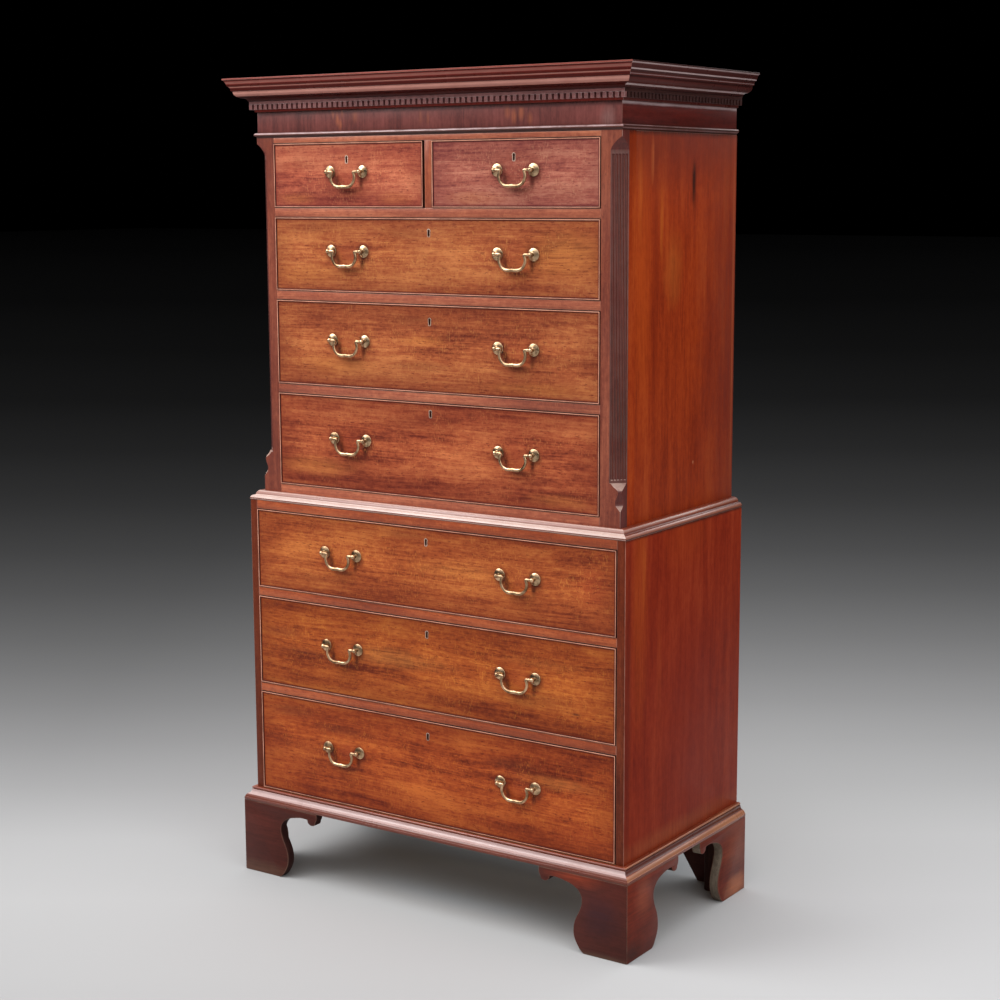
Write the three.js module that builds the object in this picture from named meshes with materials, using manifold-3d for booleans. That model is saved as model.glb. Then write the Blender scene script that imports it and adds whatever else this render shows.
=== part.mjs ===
// Chest on chest in mahogany: eight graduated drawers in two stacked cases on bracket feet
// Millimetres, +Z up, the front faces -Y, the origin is on the floor under the middle of the whole

import * as THREE from 'three';
import { mergeVertices } from 'three/addons/utils/BufferGeometryUtils.js';
import Module from 'manifold-3d';

const wasm = await Module();
wasm.setup();

// Fits and tolerances
const jointGap = 0.3;
const cutOverrun = 5;
const weldTolerance = 0.0001;

// The two cases
const caseDepth = 525;
const upperWidth = 972;
const upperSetback = 22;
const upperSideStep = 26.25;
const sideThickness = 20;
const backThickness = 12;
const boardThickness = 16;

// Heights from the floor up
const footHeight = 176;
const plinthRise = 31.5;
const openingHeight7 = 240.5;
const openingHeight6 = 212.5;
const openingHeight5 = 188;
const upperBottomRailHeight = 40;
const openingHeight4 = 216;
const openingHeight3 = 194.5;
const openingHeight2 = 167.5;
const openingHeight1 = 145;
const upperTopRailHeight = 12.5;
const friezeHeight = 58.5;
const corniceHeight = 74.5;

// Rails and dustboards between the drawers
const railThickness = 20.5;
const railDepth = 60;
const dustboardThickness = 9;
const guideHeight = 24;
const guideClearance = 1;
const muntinWidth = 19;

// Canted corner posts of the upper case, with stopped flutes
const postWidth = 50;
const postDepth = 56;
const cantLeg = 27.5;
const squareFoot = 54;
const lowerStopHeight = 59;
const fluteFootMargin = 6;
const fluteTopMargin = 6;
const coveHeight = 26;
const squareTop = 15;
const fluteCount = 5;
const flutePitch = 7;
const fluteRadius = 2.8;
const fluteDepth = 1.8;
const fluteSides = 8;
const fluteEndSteps = 2;
const coveSteps = 4;

// Lamb's-tongue stop at the foot of the cant: share of its height, share of the full depth of cut
const lowerStopShares = [
  [0, 0], [0.19, 0.36], [0.36, 0.45], [0.55, 0.3], [0.7, 0.22], [0.82, 0.42], [0.93, 0.76], [1, 0.82],
];

// Frieze and its astragal, and the cornice: reach is measured out from the face of the frieze
const friezeInset = 2;
const corniceReach = 56;
const astragalReach = 6.6;
const astragalHeight = 12;
const astragalShares = [
  [0.3, 0], [0.3, 0.26], [0.85, 0.36], [1, 0.62], [0.85, 0.88], [0.3, 1],
];
const dentilBedReach = 4;
const dentilSoffitHeight = 24;
const corniceShares = [
  [0.27, 0.325], [0.29, 0.36], [0.34, 0.39], [0.45, 0.417], [0.55, 0.45], [0.61, 0.497], [0.68, 0.577],
  [0.705, 0.617], [0.75, 0.63], [0.77, 0.7], [0.83, 0.758], [0.86, 0.772], [0.86, 0.805], [0.895, 0.845],
  [0.94, 0.913], [0.965, 0.946], [1, 0.96], [1, 1],
];

// Dentil course under the cornice
const dentilReach = 13;
const dentilWidth = 8.5;
const dentilPitch = 14.4;
const dentilCourseHeight = 18.5;
const dentilBandHeight = 7;

// Waist moulding round the step between the cases: shares run in from the lower case's face, and up
const waistMouldingHeight = 21;
const waistMouldingLip = 1;
const waistShares = [
  [0, 0], [0, 0.14], [0.02, 0.3], [0.1, 0.42], [0.24, 0.47], [0.39, 0.49], [0.44, 0.56],
  [0.6, 0.78], [0.76, 0.93], [0.9, 1],
];

// Base moulding round the bottom of the lower case: shares of its reach and of its height
const baseMouldingHeight = 31;
const baseMouldingReach = 23.3;
const baseMouldingShares = [
  [1, 0], [1, 0.2], [0.93, 0.26], [0.8, 0.36], [0.6, 0.52], [0.49, 0.65], [0.42, 0.79], [0.36, 0.81],
  [0.4, 0.86], [0.37, 0.94], [0.22, 1],
];

// Bracket feet
const bracketThickness = 23;
const bracketLength = 224;
const bracketBlock = 48;
const rearBracketThickness = 20;
const rearBracketToe = 115;
const rearBracketLength = 228;
const bracketShares = [
  [0.48, 0], [0.53, 0.05], [0.6, 0.25], [0.592, 0.36], [0.55, 0.49], [0.51, 0.62], [0.505, 0.7],
  [0.57, 0.765], [0.68, 0.835], [0.8, 0.89], [0.87, 0.9], [0.885, 0.845], [0.93, 0.825], [0.975, 0.85],
  [1, 1],
];

// Drawers
const drawerClearance = 1;
const drawerFrontThickness = 20;
const cockbeadWidth = 3;
const cockbeadRelief = 2;
const drawerSideThickness = 11;
const drawerBottomThickness = 7;
const drawerBottomRise = 8;
const drawerSideDrop = 6;
const drawerBackClearance = 12;

// Keyholes: share of the opening's height that each lies below its top, by drawer from 1 to 7
const keyDropShares = [0.234, 0.17, 0.17, 0.097, 0.152, 0.141, 0.137];
const keyholeRadius = 3;
const keyholeSlotWidth = 3;
const keyholeSlotDrop = 11;
const keyholeSteps = 8;

// Swan-neck handles
const upperHandleOffset = 226;
const lowerHandleOffset = 243;
const handleHeightShare = 0.549;
const postSpacing = 92;
const roseRadius = 14;
const roseThickness = 3;
const roseDishThickness = 1.6;
const roseSink = 1;
const rosePostRadius = 3;
const roseHeadRadius = 4.5;
const hingeStandOff = 13;
const hingeClearance = 0.4;
const hingePinReach = 2;
const roseSides = 10;
const bailThickness = 3.4;
const bailLegOffset = 30.5;
const bailDrop = 33;
const bailSides = 6;
const bailHoleSides = 8;

// Half of the bail from the middle of the grip: share of the leg's offset, share of the drop
const bailShares = [
  [0, 0.96], [0.36, 1], [0.66, 0.97], [0.9, 0.84], [1.06, 0.62], [1.1, 0.4], [1.02, 0.17], [1.04, 0.05],
  [1.16, 0],
];

// Levels worked out from the heights
const opening7Z = footHeight + plinthRise;
const opening6Z = opening7Z + openingHeight7 + railThickness;
const opening5Z = opening6Z + openingHeight6 + railThickness;
const lowerTopZ = opening5Z + openingHeight5 + railThickness;
const opening4Z = lowerTopZ + upperBottomRailHeight;
const opening3Z = opening4Z + openingHeight4 + railThickness;
const opening2Z = opening3Z + openingHeight3 + railThickness;
const opening1Z = opening2Z + openingHeight2 + railThickness;
const upperTopRailZ = opening1Z + openingHeight1;
const friezeZ = upperTopRailZ + upperTopRailHeight;
const corniceZ = friezeZ + friezeHeight;

// Planes worked out from the widths and depths
const corniceOverhang = corniceReach - friezeInset - upperSetback;
const frontY = (corniceOverhang - caseDepth) / 2;
const backY = frontY + caseDepth;
const backPanelY = backY - backThickness;
const upperFrontY = frontY + upperSetback;
const friezeFrontY = upperFrontY + friezeInset;
const upperHalf = upperWidth / 2;
const lowerHalf = upperHalf + upperSideStep;
const lowerInner = lowerHalf - sideThickness;
const upperInner = upperHalf - sideThickness;
const postInner = upperHalf - postWidth;
const friezeHalf = upperHalf - friezeInset;
const friezeThickness = friezeHalf - upperInner;

const axisX = new THREE.Vector3(1, 0, 0);
const axisY = new THREE.Vector3(0, 1, 0);
const axisZ = new THREE.Vector3(0, 0, 1);

// Materials
function material(name, color, roughness, metalness) {
  const made = new THREE.MeshStandardMaterial({ color, roughness, metalness });
  made.name = name;
  return made;
}

const drawerMahogany = material('figured mahogany', 0xb0603a, 0.38, 0);
const caseMahogany = material('mahogany', 0x96482f, 0.4, 0);
const darkMahogany = material('dark mahogany', 0x5e2c22, 0.42, 0);
const liningOak = material('oak lining', 0xa9865a, 0.75, 0);
const brass = material('brass', 0xd9b968, 0.3, 1);

// Solids for joining and cutting
function toSolid(geometry) {
  const bare = geometry.clone();
  bare.deleteAttribute('normal');
  bare.deleteAttribute('uv');
  const merged = mergeVertices(bare, weldTolerance);
  return new wasm.Manifold(new wasm.Mesh({
    numProp: 3,
    vertProperties: new Float32Array(merged.attributes.position.array),
    triVerts: new Uint32Array(merged.index.array),
  }));
}

function toGeometry(solid) {
  const mesh = solid.getMesh();
  const geometry = new THREE.BufferGeometry();
  geometry.setAttribute('position', new THREE.BufferAttribute(new Float32Array(mesh.vertProperties), 3));
  geometry.setIndex(new THREE.BufferAttribute(new Uint32Array(mesh.triVerts), 1));
  geometry.computeVertexNormals();
  return geometry;
}

function joined(first, ...others) {
  return toGeometry(others.reduce((whole, other) => whole.add(toSolid(other)), toSolid(first)));
}

function cut(first, ...cutters) {
  return toGeometry(cutters.reduce((whole, cutter) => whole.subtract(toSolid(cutter)), toSolid(first)));
}

// A mirror image across the YZ plane, with its faces turned the right way again
function mirrored(geometry) {
  const image = geometry.clone();
  image.scale(-1, 1, 1);
  const order = image.index.array;
  for (let i = 0; i < order.length; i += 3) {
    [order[i], order[i + 1]] = [order[i + 1], order[i]];
  }
  image.computeVertexNormals();
  return image;
}

// A board from its lowest corner to its highest corner
function board(low, high) {
  const size = high.map((value, axis) => value - low[axis]);
  const geometry = new THREE.BoxGeometry(...size);
  geometry.translate(...low.map((value, axis) => value + size[axis] / 2));
  return geometry;
}

// An outline drawn across and up, pushed along the direction square to both
function extruded(points, length, across, up) {
  const shape = new THREE.Shape(points.map(([u, v]) => new THREE.Vector2(u, v)));
  const geometry = new THREE.ExtrudeGeometry(shape, { depth: length, bevelEnabled: false });
  const along = new THREE.Vector3().crossVectors(across, up);
  geometry.applyMatrix4(new THREE.Matrix4().makeBasis(across, up, along));
  return geometry;
}

// A moulding mitred round the front and both sides: points of the outline are reach and height,
// anticlockwise, and the reach is measured out from a face at halfWidth and faceY
function mouldingRound(outline, halfWidth, faceY) {
  const stations = [
    ([reach, z]) => [-halfWidth - reach, backY, z],
    ([reach, z]) => [-halfWidth - reach, faceY - reach, z],
    ([reach, z]) => [halfWidth + reach, faceY - reach, z],
    ([reach, z]) => [halfWidth + reach, backY, z],
  ];
  const count = outline.length;
  const corner = (station, point) => station * count + (point % count);
  const index = [];
  for (let station = 0; station < stations.length - 1; station += 1) {
    for (let point = 0; point < count; point += 1) {
      const near = corner(station, point);
      const far = corner(station + 1, point);
      const nearNext = corner(station, point + 1);
      const farNext = corner(station + 1, point + 1);
      index.push(near, far, farNext, near, farNext, nearNext);
    }
  }
  const face = THREE.ShapeUtils.triangulateShape(outline.map(([u, v]) => new THREE.Vector2(u, v)), []);
  const last = stations.length - 1;
  for (const [a, b, c] of face) {
    index.push(corner(0, a), corner(0, b), corner(0, c));
    index.push(corner(last, c), corner(last, b), corner(last, a));
  }
  const places = stations.flatMap((place) => outline.flatMap((point) => place(point)));
  const geometry = new THREE.BufferGeometry();
  geometry.setAttribute('position', new THREE.Float32BufferAttribute(places, 3));
  geometry.setIndex(index);
  geometry.computeVertexNormals();
  return geometry;
}

function piece(name, geometry, finish, place = [0, 0, 0]) {
  const mesh = new THREE.Mesh(geometry, finish);
  mesh.name = name;
  mesh.position.set(...place);
  return mesh;
}

// Lower case
function lowerSide() {
  return board([lowerInner, frontY, footHeight], [lowerHalf, backY, lowerTopZ]);
}

function lowerTopRail() {
  return board(
    [jointGap - lowerInner, frontY, lowerTopZ - railThickness],
    [lowerInner - jointGap, frontY + railDepth, lowerTopZ],
  );
}

function lowerTopBoard() {
  return board(
    [jointGap - lowerInner, frontY + railDepth + jointGap, lowerTopZ - boardThickness],
    [lowerInner - jointGap, backPanelY - jointGap, lowerTopZ],
  );
}

function lowerBottomBoard() {
  return board(
    [jointGap - lowerInner, frontY, opening7Z - boardThickness],
    [lowerInner - jointGap, backPanelY - jointGap, opening7Z],
  );
}

function lowerBack() {
  return board([jointGap - lowerInner, backPanelY, footHeight], [lowerInner - jointGap, backY, lowerTopZ]);
}

// A rail with its dustboard behind it, which carries the drawer above: the top is at z
function railWithDustboard(faceY, z, frontHalf, rearHalf) {
  const reach = backPanelY - jointGap - faceY;
  const step = railThickness - dustboardThickness;
  const outline = [
    [0, 0], [railDepth, 0], [railDepth, step], [reach, step], [reach, railThickness], [0, railThickness],
  ];
  const rail = extruded(outline, 2 * (rearHalf - jointGap), axisY, axisZ);
  rail.translate(jointGap - rearHalf, faceY, z - railThickness);
  if (frontHalf === rearHalf) {
    return rail;
  }
  const clearOfPost = (side) => {
    const ends = [side * (frontHalf - jointGap), side * (rearHalf + cutOverrun)].sort((a, b) => a - b);
    return board(
      [ends[0], faceY - cutOverrun, z - railThickness - cutOverrun],
      [ends[1], faceY + postDepth + jointGap, z + cutOverrun],
    );
  };
  return cut(rail, clearOfPost(-1), clearOfPost(1));
}

function baseMoulding() {
  const reach = baseMouldingReach - jointGap;
  const outline = [
    [jointGap, footHeight],
    ...baseMouldingShares.map(([out, up]) => [jointGap + out * reach, footHeight + up * baseMouldingHeight]),
    [jointGap, footHeight + baseMouldingHeight],
  ];
  return mouldingRound(outline, lowerHalf, frontY);
}

// The step is wider at the sides than in front, so the back of the moulding is cut to the upper case
function waistMoulding() {
  const stepIn = Math.max(upperSetback, upperSideStep);
  const shallow = Math.min(upperSetback, upperSideStep);
  const foot = lowerTopZ + jointGap;
  const height = waistMouldingHeight - jointGap;
  const outline = [
    [-stepIn - cutOverrun, foot],
    ...waistShares.map(([inwards, up]) => [
      waistMouldingLip - inwards * (shallow + waistMouldingLip), foot + up * height,
    ]),
    [-stepIn - cutOverrun, foot + height],
  ];
  const upperCase = board(
    [-upperHalf - jointGap, upperFrontY - jointGap, lowerTopZ - cutOverrun],
    [upperHalf + jointGap, backY + cutOverrun, foot + height + cutOverrun],
  );
  return cut(mouldingRound(outline, lowerHalf, frontY), upperCase);
}

// Feet, drawn for the right-hand side from their outer corner
function shapedOutline() {
  const top = footHeight - jointGap;
  return [[0, 0], ...bracketShares.map(([along, up]) => [along * bracketLength, up * top]), [0, top]];
}

function frontFoot() {
  const top = footHeight - jointGap;
  const front = extruded(shapedOutline().map(([along, z]) => [-along, z]), bracketThickness, axisX, axisZ);
  front.translate(0, bracketThickness, 0);
  const side = extruded(shapedOutline(), bracketThickness, axisY, axisZ);
  side.translate(-bracketThickness, 0, 0);
  const inner = bracketThickness - jointGap;
  const block = board(
    [-bracketThickness - bracketBlock, inner, 0],
    [-inner, bracketThickness + bracketBlock, top],
  );
  return joined(front, side, block);
}

function rearFoot() {
  const top = footHeight - jointGap;
  const side = extruded(shapedOutline().map(([along, z]) => [-along, z]), bracketThickness, axisY, axisZ);
  side.translate(-bracketThickness, 0, 0);
  const rakedOutline = [[0, 0], [0, top], [-rearBracketLength, top], [-rearBracketToe, 0]];
  const rear = extruded(rakedOutline, rearBracketThickness, axisX, axisZ);
  const inner = bracketThickness - jointGap;
  const block = board(
    [-bracketThickness - bracketBlock, -rearBracketThickness - bracketBlock, 0],
    [-inner, jointGap - rearBracketThickness, top],
  );
  return joined(side, rear, block);
}

// Upper case
function cornerPost() {
  const height = friezeZ - jointGap - lowerTopZ - jointGap;
  const post = board([0, 0, 0], [postWidth, postDepth, height]);
  const fullDepth = cantLeg / Math.SQRT2;
  const stopTop = squareFoot + lowerStopHeight;
  const coveFoot = height - squareTop - coveHeight;
  const coveOutline = Array.from({ length: coveSteps + 1 }, (_, step) => {
    const rise = step / coveSteps;
    return [fullDepth * Math.sqrt(1 - rise * rise), coveFoot + rise * coveHeight];
  });
  const outline = [
    [-cutOverrun, squareFoot],
    ...lowerStopShares.map(([up, deep]) => [deep * fullDepth, squareFoot + up * lowerStopHeight]),
    [fullDepth, stopTop],
    ...coveOutline,
    [-cutOverrun, height - squareTop],
  ];
  const inwards = new THREE.Vector3(-1, 1, 0).normalize();
  const sweep = 2 * (fullDepth + cutOverrun);
  const cant = extruded(outline, sweep, inwards, axisZ);
  const along = new THREE.Vector3().crossVectors(inwards, axisZ);
  const arris = new THREE.Vector3(postWidth, 0, 0);
  const start = arris.clone().addScaledVector(along, -sweep / 2);
  cant.translate(start.x, start.y, start.z);
  const fluteFoot = stopTop + fluteFootMargin;
  const fluteLength = coveFoot - fluteTopMargin - fluteFoot;
  const flutes = Array.from({ length: fluteCount }, (_, i) => {
    const barrel = fluteLength - 2 * fluteRadius;
    const flute = new THREE.CapsuleGeometry(fluteRadius, barrel, fluteEndSteps, fluteSides);
    flute.rotateX(Math.PI / 2);
    const place = arris.clone();
    place.addScaledVector(inwards, fullDepth + fluteDepth - fluteRadius);
    place.addScaledVector(along, (i - (fluteCount - 1) / 2) * flutePitch);
    flute.translate(place.x, place.y, fluteFoot + fluteLength / 2);
    return flute;
  });
  return cut(post, cant, ...flutes);
}

// The side board carries the strips that guide the drawers beside the wide corner posts
function upperSide() {
  const start = upperFrontY + postDepth + jointGap;
  const side = board([upperInner, start, lowerTopZ + jointGap], [upperHalf, backY, friezeZ - jointGap]);
  const guides = [opening1Z, opening2Z, opening3Z, opening4Z].map((z) => board(
    [postInner + guideClearance, start, z + jointGap],
    [upperInner + jointGap, backPanelY - jointGap, z + guideHeight],
  ));
  return joined(side, ...guides);
}

function upperBottomRail() {
  return board(
    [jointGap - postInner, upperFrontY, lowerTopZ + jointGap],
    [postInner - jointGap, upperFrontY + postDepth, opening4Z],
  );
}

function upperBottomBoard() {
  return board(
    [jointGap - upperInner, upperFrontY + postDepth + jointGap, opening4Z - boardThickness],
    [upperInner - jointGap, backPanelY - jointGap, opening4Z],
  );
}

function upperTopRail() {
  return board(
    [jointGap - postInner, upperFrontY, upperTopRailZ],
    [postInner - jointGap, upperFrontY + postDepth, friezeZ - jointGap],
  );
}

function upperTopBoard() {
  return board(
    [jointGap - upperInner, friezeFrontY + friezeThickness + jointGap, corniceZ - boardThickness],
    [upperInner - jointGap, backPanelY - jointGap, corniceZ],
  );
}

function upperBack() {
  return board(
    [jointGap - upperInner, backPanelY, lowerTopZ + jointGap],
    [upperInner - jointGap, backY, corniceZ],
  );
}

// The upright between the short drawers, with the strip behind it that guides them both
function muntin() {
  const foot = opening1Z + jointGap;
  const top = upperTopRailZ - jointGap;
  const outline = [
    [upperFrontY, foot], [backPanelY - jointGap, foot], [backPanelY - jointGap, foot + guideHeight],
    [upperFrontY + railDepth, foot + guideHeight], [upperFrontY + railDepth, top], [upperFrontY, top],
  ];
  const upright = extruded(outline, muntinWidth, axisY, axisZ);
  upright.translate(-muntinWidth / 2, 0, 0);
  return upright;
}

function frieze() {
  const outline = [
    [-friezeThickness, friezeZ],
    ...astragalShares.map(([out, up]) => [out * astragalReach, friezeZ + up * astragalHeight]),
    [0, friezeZ + astragalHeight],
    [0, corniceZ - jointGap],
    [-friezeThickness, corniceZ - jointGap],
  ];
  return mouldingRound(outline, friezeHalf, friezeFrontY);
}

function cornice() {
  const outline = [
    [-friezeThickness, corniceZ],
    [dentilBedReach, corniceZ],
    [dentilBedReach, corniceZ + dentilSoffitHeight],
    ...corniceShares.map(([out, up]) => [out * corniceReach, corniceZ + up * corniceHeight]),
    [-friezeThickness, corniceZ + corniceHeight],
  ];
  return mouldingRound(outline, friezeHalf, friezeFrontY);
}

// One run of dentils as a comb whose teeth hang from a plain band
function dentilComb(length) {
  const gaps = Math.round((length - dentilWidth) / dentilPitch);
  const pitch = (length - dentilWidth) / gaps;
  const bandFoot = dentilCourseHeight - dentilBandHeight;
  const outline = [[0, dentilCourseHeight]];
  for (let tooth = 0; tooth <= gaps; tooth += 1) {
    const start = tooth * pitch;
    if (tooth > 0) {
      outline.push([start, bandFoot]);
    }
    outline.push([start, 0], [start + dentilWidth, 0]);
    if (tooth < gaps) {
      outline.push([start + dentilWidth, bandFoot]);
    }
  }
  outline.push([length, dentilCourseHeight]);
  return outline;
}

function dentilCourse() {
  const thickness = dentilReach - dentilBedReach - jointGap;
  const half = friezeHalf + dentilReach;
  const faceY = friezeFrontY - dentilReach;
  const foot = corniceZ + dentilSoffitHeight - jointGap - dentilCourseHeight;
  const front = extruded(dentilComb(2 * half), thickness, axisX, axisZ);
  front.translate(-half, faceY + thickness, foot);
  const right = extruded(dentilComb(backY - faceY), thickness, axisY, axisZ);
  const left = right.clone();
  right.translate(half - thickness, faceY, foot);
  left.translate(-half, faceY, foot);
  return joined(front, right, left);
}

// Handles
function rosePost() {
  const profile = [
    [0, -roseSink], [roseRadius, -roseSink], [roseRadius, roseThickness],
    [(roseRadius + rosePostRadius) / 2, roseDishThickness], [rosePostRadius, roseThickness],
    [rosePostRadius, hingeStandOff - roseHeadRadius], [roseHeadRadius, hingeStandOff],
    [rosePostRadius, hingeStandOff + rosePostRadius], [0, hingeStandOff + roseHeadRadius],
  ];
  const post = new THREE.LatheGeometry(profile.map(([r, y]) => new THREE.Vector2(r, y)), roseSides);
  post.rotateX(Math.PI);
  return post;
}

function bailHole(side) {
  const radius = (bailThickness / 2 + hingeClearance) / Math.cos(Math.PI / bailHoleSides);
  const length = roseHeadRadius + hingePinReach + jointGap;
  const hole = new THREE.CylinderGeometry(radius, radius, length, bailHoleSides);
  hole.rotateZ(Math.PI / 2);
  hole.translate(side * (hingePinReach + jointGap - length / 2), -hingeStandOff, 0);
  return hole;
}

// A path that puts one step of the bar on each of its points
class BailPath extends THREE.CatmullRomCurve3 {
  getUtoTmapping(share) {
    return share;
  }
}

function bail() {
  const half = bailShares.map(([across, down]) => [across * bailLegOffset, -down * bailDrop]);
  const pinEnd = postSpacing / 2 + hingePinReach;
  const pinStart = postSpacing / 2 - roseHeadRadius;
  const right = [...half, [pinStart, 0], [pinEnd, 0]];
  const left = right.slice(1).reverse().map(([x, z]) => [-x, z]);
  const path = new BailPath([...left, ...right].map(([x, z]) => new THREE.Vector3(x, 0, z)));
  const section = Array.from({ length: bailSides }, (_, i) => {
    const turn = (i / bailSides) * 2 * Math.PI;
    return new THREE.Vector2(Math.cos(turn), Math.sin(turn)).multiplyScalar(bailThickness / 2);
  });
  const steps = path.points.length - 1;
  const settings = { steps, extrudePath: path, bevelEnabled: false };
  return new THREE.ExtrudeGeometry(new THREE.Shape(section), settings);
}

// Drawers
function keyhole(x, z) {
  const start = Math.asin(keyholeSlotWidth / 2 / keyholeRadius);
  const round = Array.from({ length: keyholeSteps + 1 }, (_, step) => {
    const turn = start + (step / keyholeSteps) * 2 * (Math.PI - start);
    return [x + Math.sin(turn) * keyholeRadius, z - Math.cos(turn) * keyholeRadius];
  });
  const slotFoot = z - keyholeSlotDrop;
  const outline = [[x - keyholeSlotWidth / 2, slotFoot], [x + keyholeSlotWidth / 2, slotFoot], ...round];
  const hole = extruded(outline, drawerFrontThickness + 2 * cutOverrun, axisX, axisZ);
  hole.translate(0, drawerFrontThickness + cutOverrun, 0);
  return hole;
}

// A drawer front in its own frame: its face at y = 0, its opening from z = 0 up and centred on x = 0
function drawerFront(halfOpening, height, keyDropShare, handleOffsets) {
  const half = halfOpening - drawerClearance;
  const block = board(
    [-half, -cockbeadRelief, drawerClearance],
    [half, drawerFrontThickness, height - drawerClearance],
  );
  const field = board(
    [cockbeadWidth - half, -cockbeadRelief - cutOverrun, drawerClearance + cockbeadWidth],
    [half - cockbeadWidth, 0, height - drawerClearance - cockbeadWidth],
  );
  const hingeZ = height * handleHeightShare;
  const posts = [];
  const holes = [];
  for (const offset of handleOffsets) {
    for (const side of [-1, 1]) {
      const x = offset + (side * postSpacing) / 2;
      posts.push(rosePost().translate(x, 0, hingeZ));
      holes.push(bailHole(side).translate(x, 0, hingeZ));
    }
  }
  const panel = cut(block, field, keyhole(0, height * (1 - keyDropShare)));
  return cut(joined(panel, ...posts), ...holes);
}

// The box behind a front: two sides, a back and a bottom let in above their lower edges
function drawerBox(halfOpening, height, faceY) {
  const half = halfOpening - guideClearance - drawerClearance;
  const start = drawerFrontThickness + jointGap;
  const end = backPanelY - faceY - drawerBackClearance;
  const top = height - drawerClearance - drawerSideDrop;
  const inner = half - drawerSideThickness;
  const bottomZ = jointGap + drawerBottomRise;
  const outside = board([-half, start, jointGap], [half, end, top]);
  const inside = board(
    [-inner, start - cutOverrun, bottomZ + drawerBottomThickness],
    [inner, end - drawerSideThickness, top + cutOverrun],
  );
  const underside = board(
    [-inner, start - cutOverrun, jointGap - cutOverrun],
    [inner, end - drawerSideThickness, bottomZ],
  );
  return cut(outside, inside, underside);
}

function drawer(name, opening) {
  const made = new THREE.Group();
  made.position.set(opening.centre, opening.faceY, opening.z);
  const { half, height, keyDropShare, handles, faceY } = opening;
  const offsets = Object.values(handles);
  made.add(piece(`${name}_front`, drawerFront(half, height, keyDropShare, offsets), drawerMahogany));
  made.add(piece(`${name}_box`, drawerBox(half, height, faceY), liningOak));
  for (const [suffix, offset] of Object.entries(handles)) {
    const place = [offset, -hingeStandOff, height * handleHeightShare];
    made.add(piece(`${name}_bail${suffix}`, bail(), brass, place));
  }
  return made;
}

const shortHalf = (postInner - muntinWidth / 2) / 2;
const shortCentre = (postInner + muntinWidth / 2) / 2;
const pair = (offset) => ({ _left: -offset, _right: offset });

function shortDrawer(side) {
  return {
    centre: side * shortCentre,
    half: shortHalf,
    faceY: upperFrontY,
    z: opening1Z,
    height: openingHeight1,
    keyDropShare: keyDropShares[0],
    handles: { '': side * (upperHandleOffset - shortCentre) },
  };
}

function longDrawer(number, z, height) {
  const upper = number <= 4;
  return {
    centre: 0,
    half: upper ? postInner : lowerInner,
    faceY: upper ? upperFrontY : frontY,
    z,
    height,
    keyDropShare: keyDropShares[number - 1],
    handles: pair(upper ? upperHandleOffset : lowerHandleOffset),
  };
}

// Assembly
const chest = new THREE.Group();

const lowerCase = new THREE.Group();
lowerCase.add(
  piece('lower_side_left', mirrored(lowerSide()), caseMahogany),
  piece('lower_side_right', lowerSide(), caseMahogany),
  piece('lower_top_rail', lowerTopRail(), caseMahogany),
  piece('lower_rail_1', railWithDustboard(frontY, opening5Z, lowerInner, lowerInner), caseMahogany),
  piece('lower_rail_2', railWithDustboard(frontY, opening6Z, lowerInner, lowerInner), caseMahogany),
  piece('lower_top_board', lowerTopBoard(), liningOak),
  piece('lower_bottom_board', lowerBottomBoard(), liningOak),
  piece('lower_back', lowerBack(), liningOak),
  piece('waist_moulding', waistMoulding(), caseMahogany),
  piece('base_moulding', baseMoulding(), caseMahogany),
);

const footX = lowerHalf + baseMouldingReach;
const footFrontY = frontY - baseMouldingReach;
lowerCase.add(
  piece('foot_front_left', mirrored(frontFoot()), darkMahogany, [-footX, footFrontY, 0]),
  piece('foot_front_right', frontFoot(), darkMahogany, [footX, footFrontY, 0]),
  piece('foot_back_left', mirrored(rearFoot()), darkMahogany, [-footX, backY, 0]),
  piece('foot_back_right', rearFoot(), darkMahogany, [footX, backY, 0]),
);

const upperCase = new THREE.Group();
const rightPostPlace = [postInner, upperFrontY, lowerTopZ + jointGap];
const leftPostPlace = [-postInner, upperFrontY, lowerTopZ + jointGap];
upperCase.add(
  piece('upper_side_left', mirrored(upperSide()), caseMahogany),
  piece('upper_side_right', upperSide(), caseMahogany),
  piece('corner_post_left', mirrored(cornerPost()), darkMahogany, leftPostPlace),
  piece('corner_post_right', cornerPost(), darkMahogany, rightPostPlace),
  piece('upper_bottom_rail', upperBottomRail(), caseMahogany),
  piece('upper_rail_1', railWithDustboard(upperFrontY, opening1Z, postInner, upperInner), caseMahogany),
  piece('upper_rail_2', railWithDustboard(upperFrontY, opening2Z, postInner, upperInner), caseMahogany),
  piece('upper_rail_3', railWithDustboard(upperFrontY, opening3Z, postInner, upperInner), caseMahogany),
  piece('upper_top_rail', upperTopRail(), caseMahogany),
  piece('muntin', muntin(), caseMahogany),
  piece('upper_bottom_board', upperBottomBoard(), liningOak),
  piece('upper_top_board', upperTopBoard(), liningOak),
  piece('upper_back', upperBack(), liningOak),
  piece('frieze', frieze(), darkMahogany),
  piece('dentil_course', dentilCourse(), darkMahogany),
  piece('cornice', cornice(), darkMahogany),
);

const drawers = new THREE.Group();
drawers.add(
  drawer('drawer_1_left', shortDrawer(-1)),
  drawer('drawer_1_right', shortDrawer(1)),
  drawer('drawer_2', longDrawer(2, opening2Z, openingHeight2)),
  drawer('drawer_3', longDrawer(3, opening3Z, openingHeight3)),
  drawer('drawer_4', longDrawer(4, opening4Z, openingHeight4)),
  drawer('drawer_5', longDrawer(5, opening5Z, openingHeight5)),
  drawer('drawer_6', longDrawer(6, opening6Z, openingHeight6)),
  drawer('drawer_7', longDrawer(7, opening7Z, openingHeight7)),
);

chest.add(lowerCase, upperCase, drawers);

export default chest;
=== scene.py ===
"""Chest on chest in mahogany: the finished woods, mouldings and brasses round the fixed frame."""

import math

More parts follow.
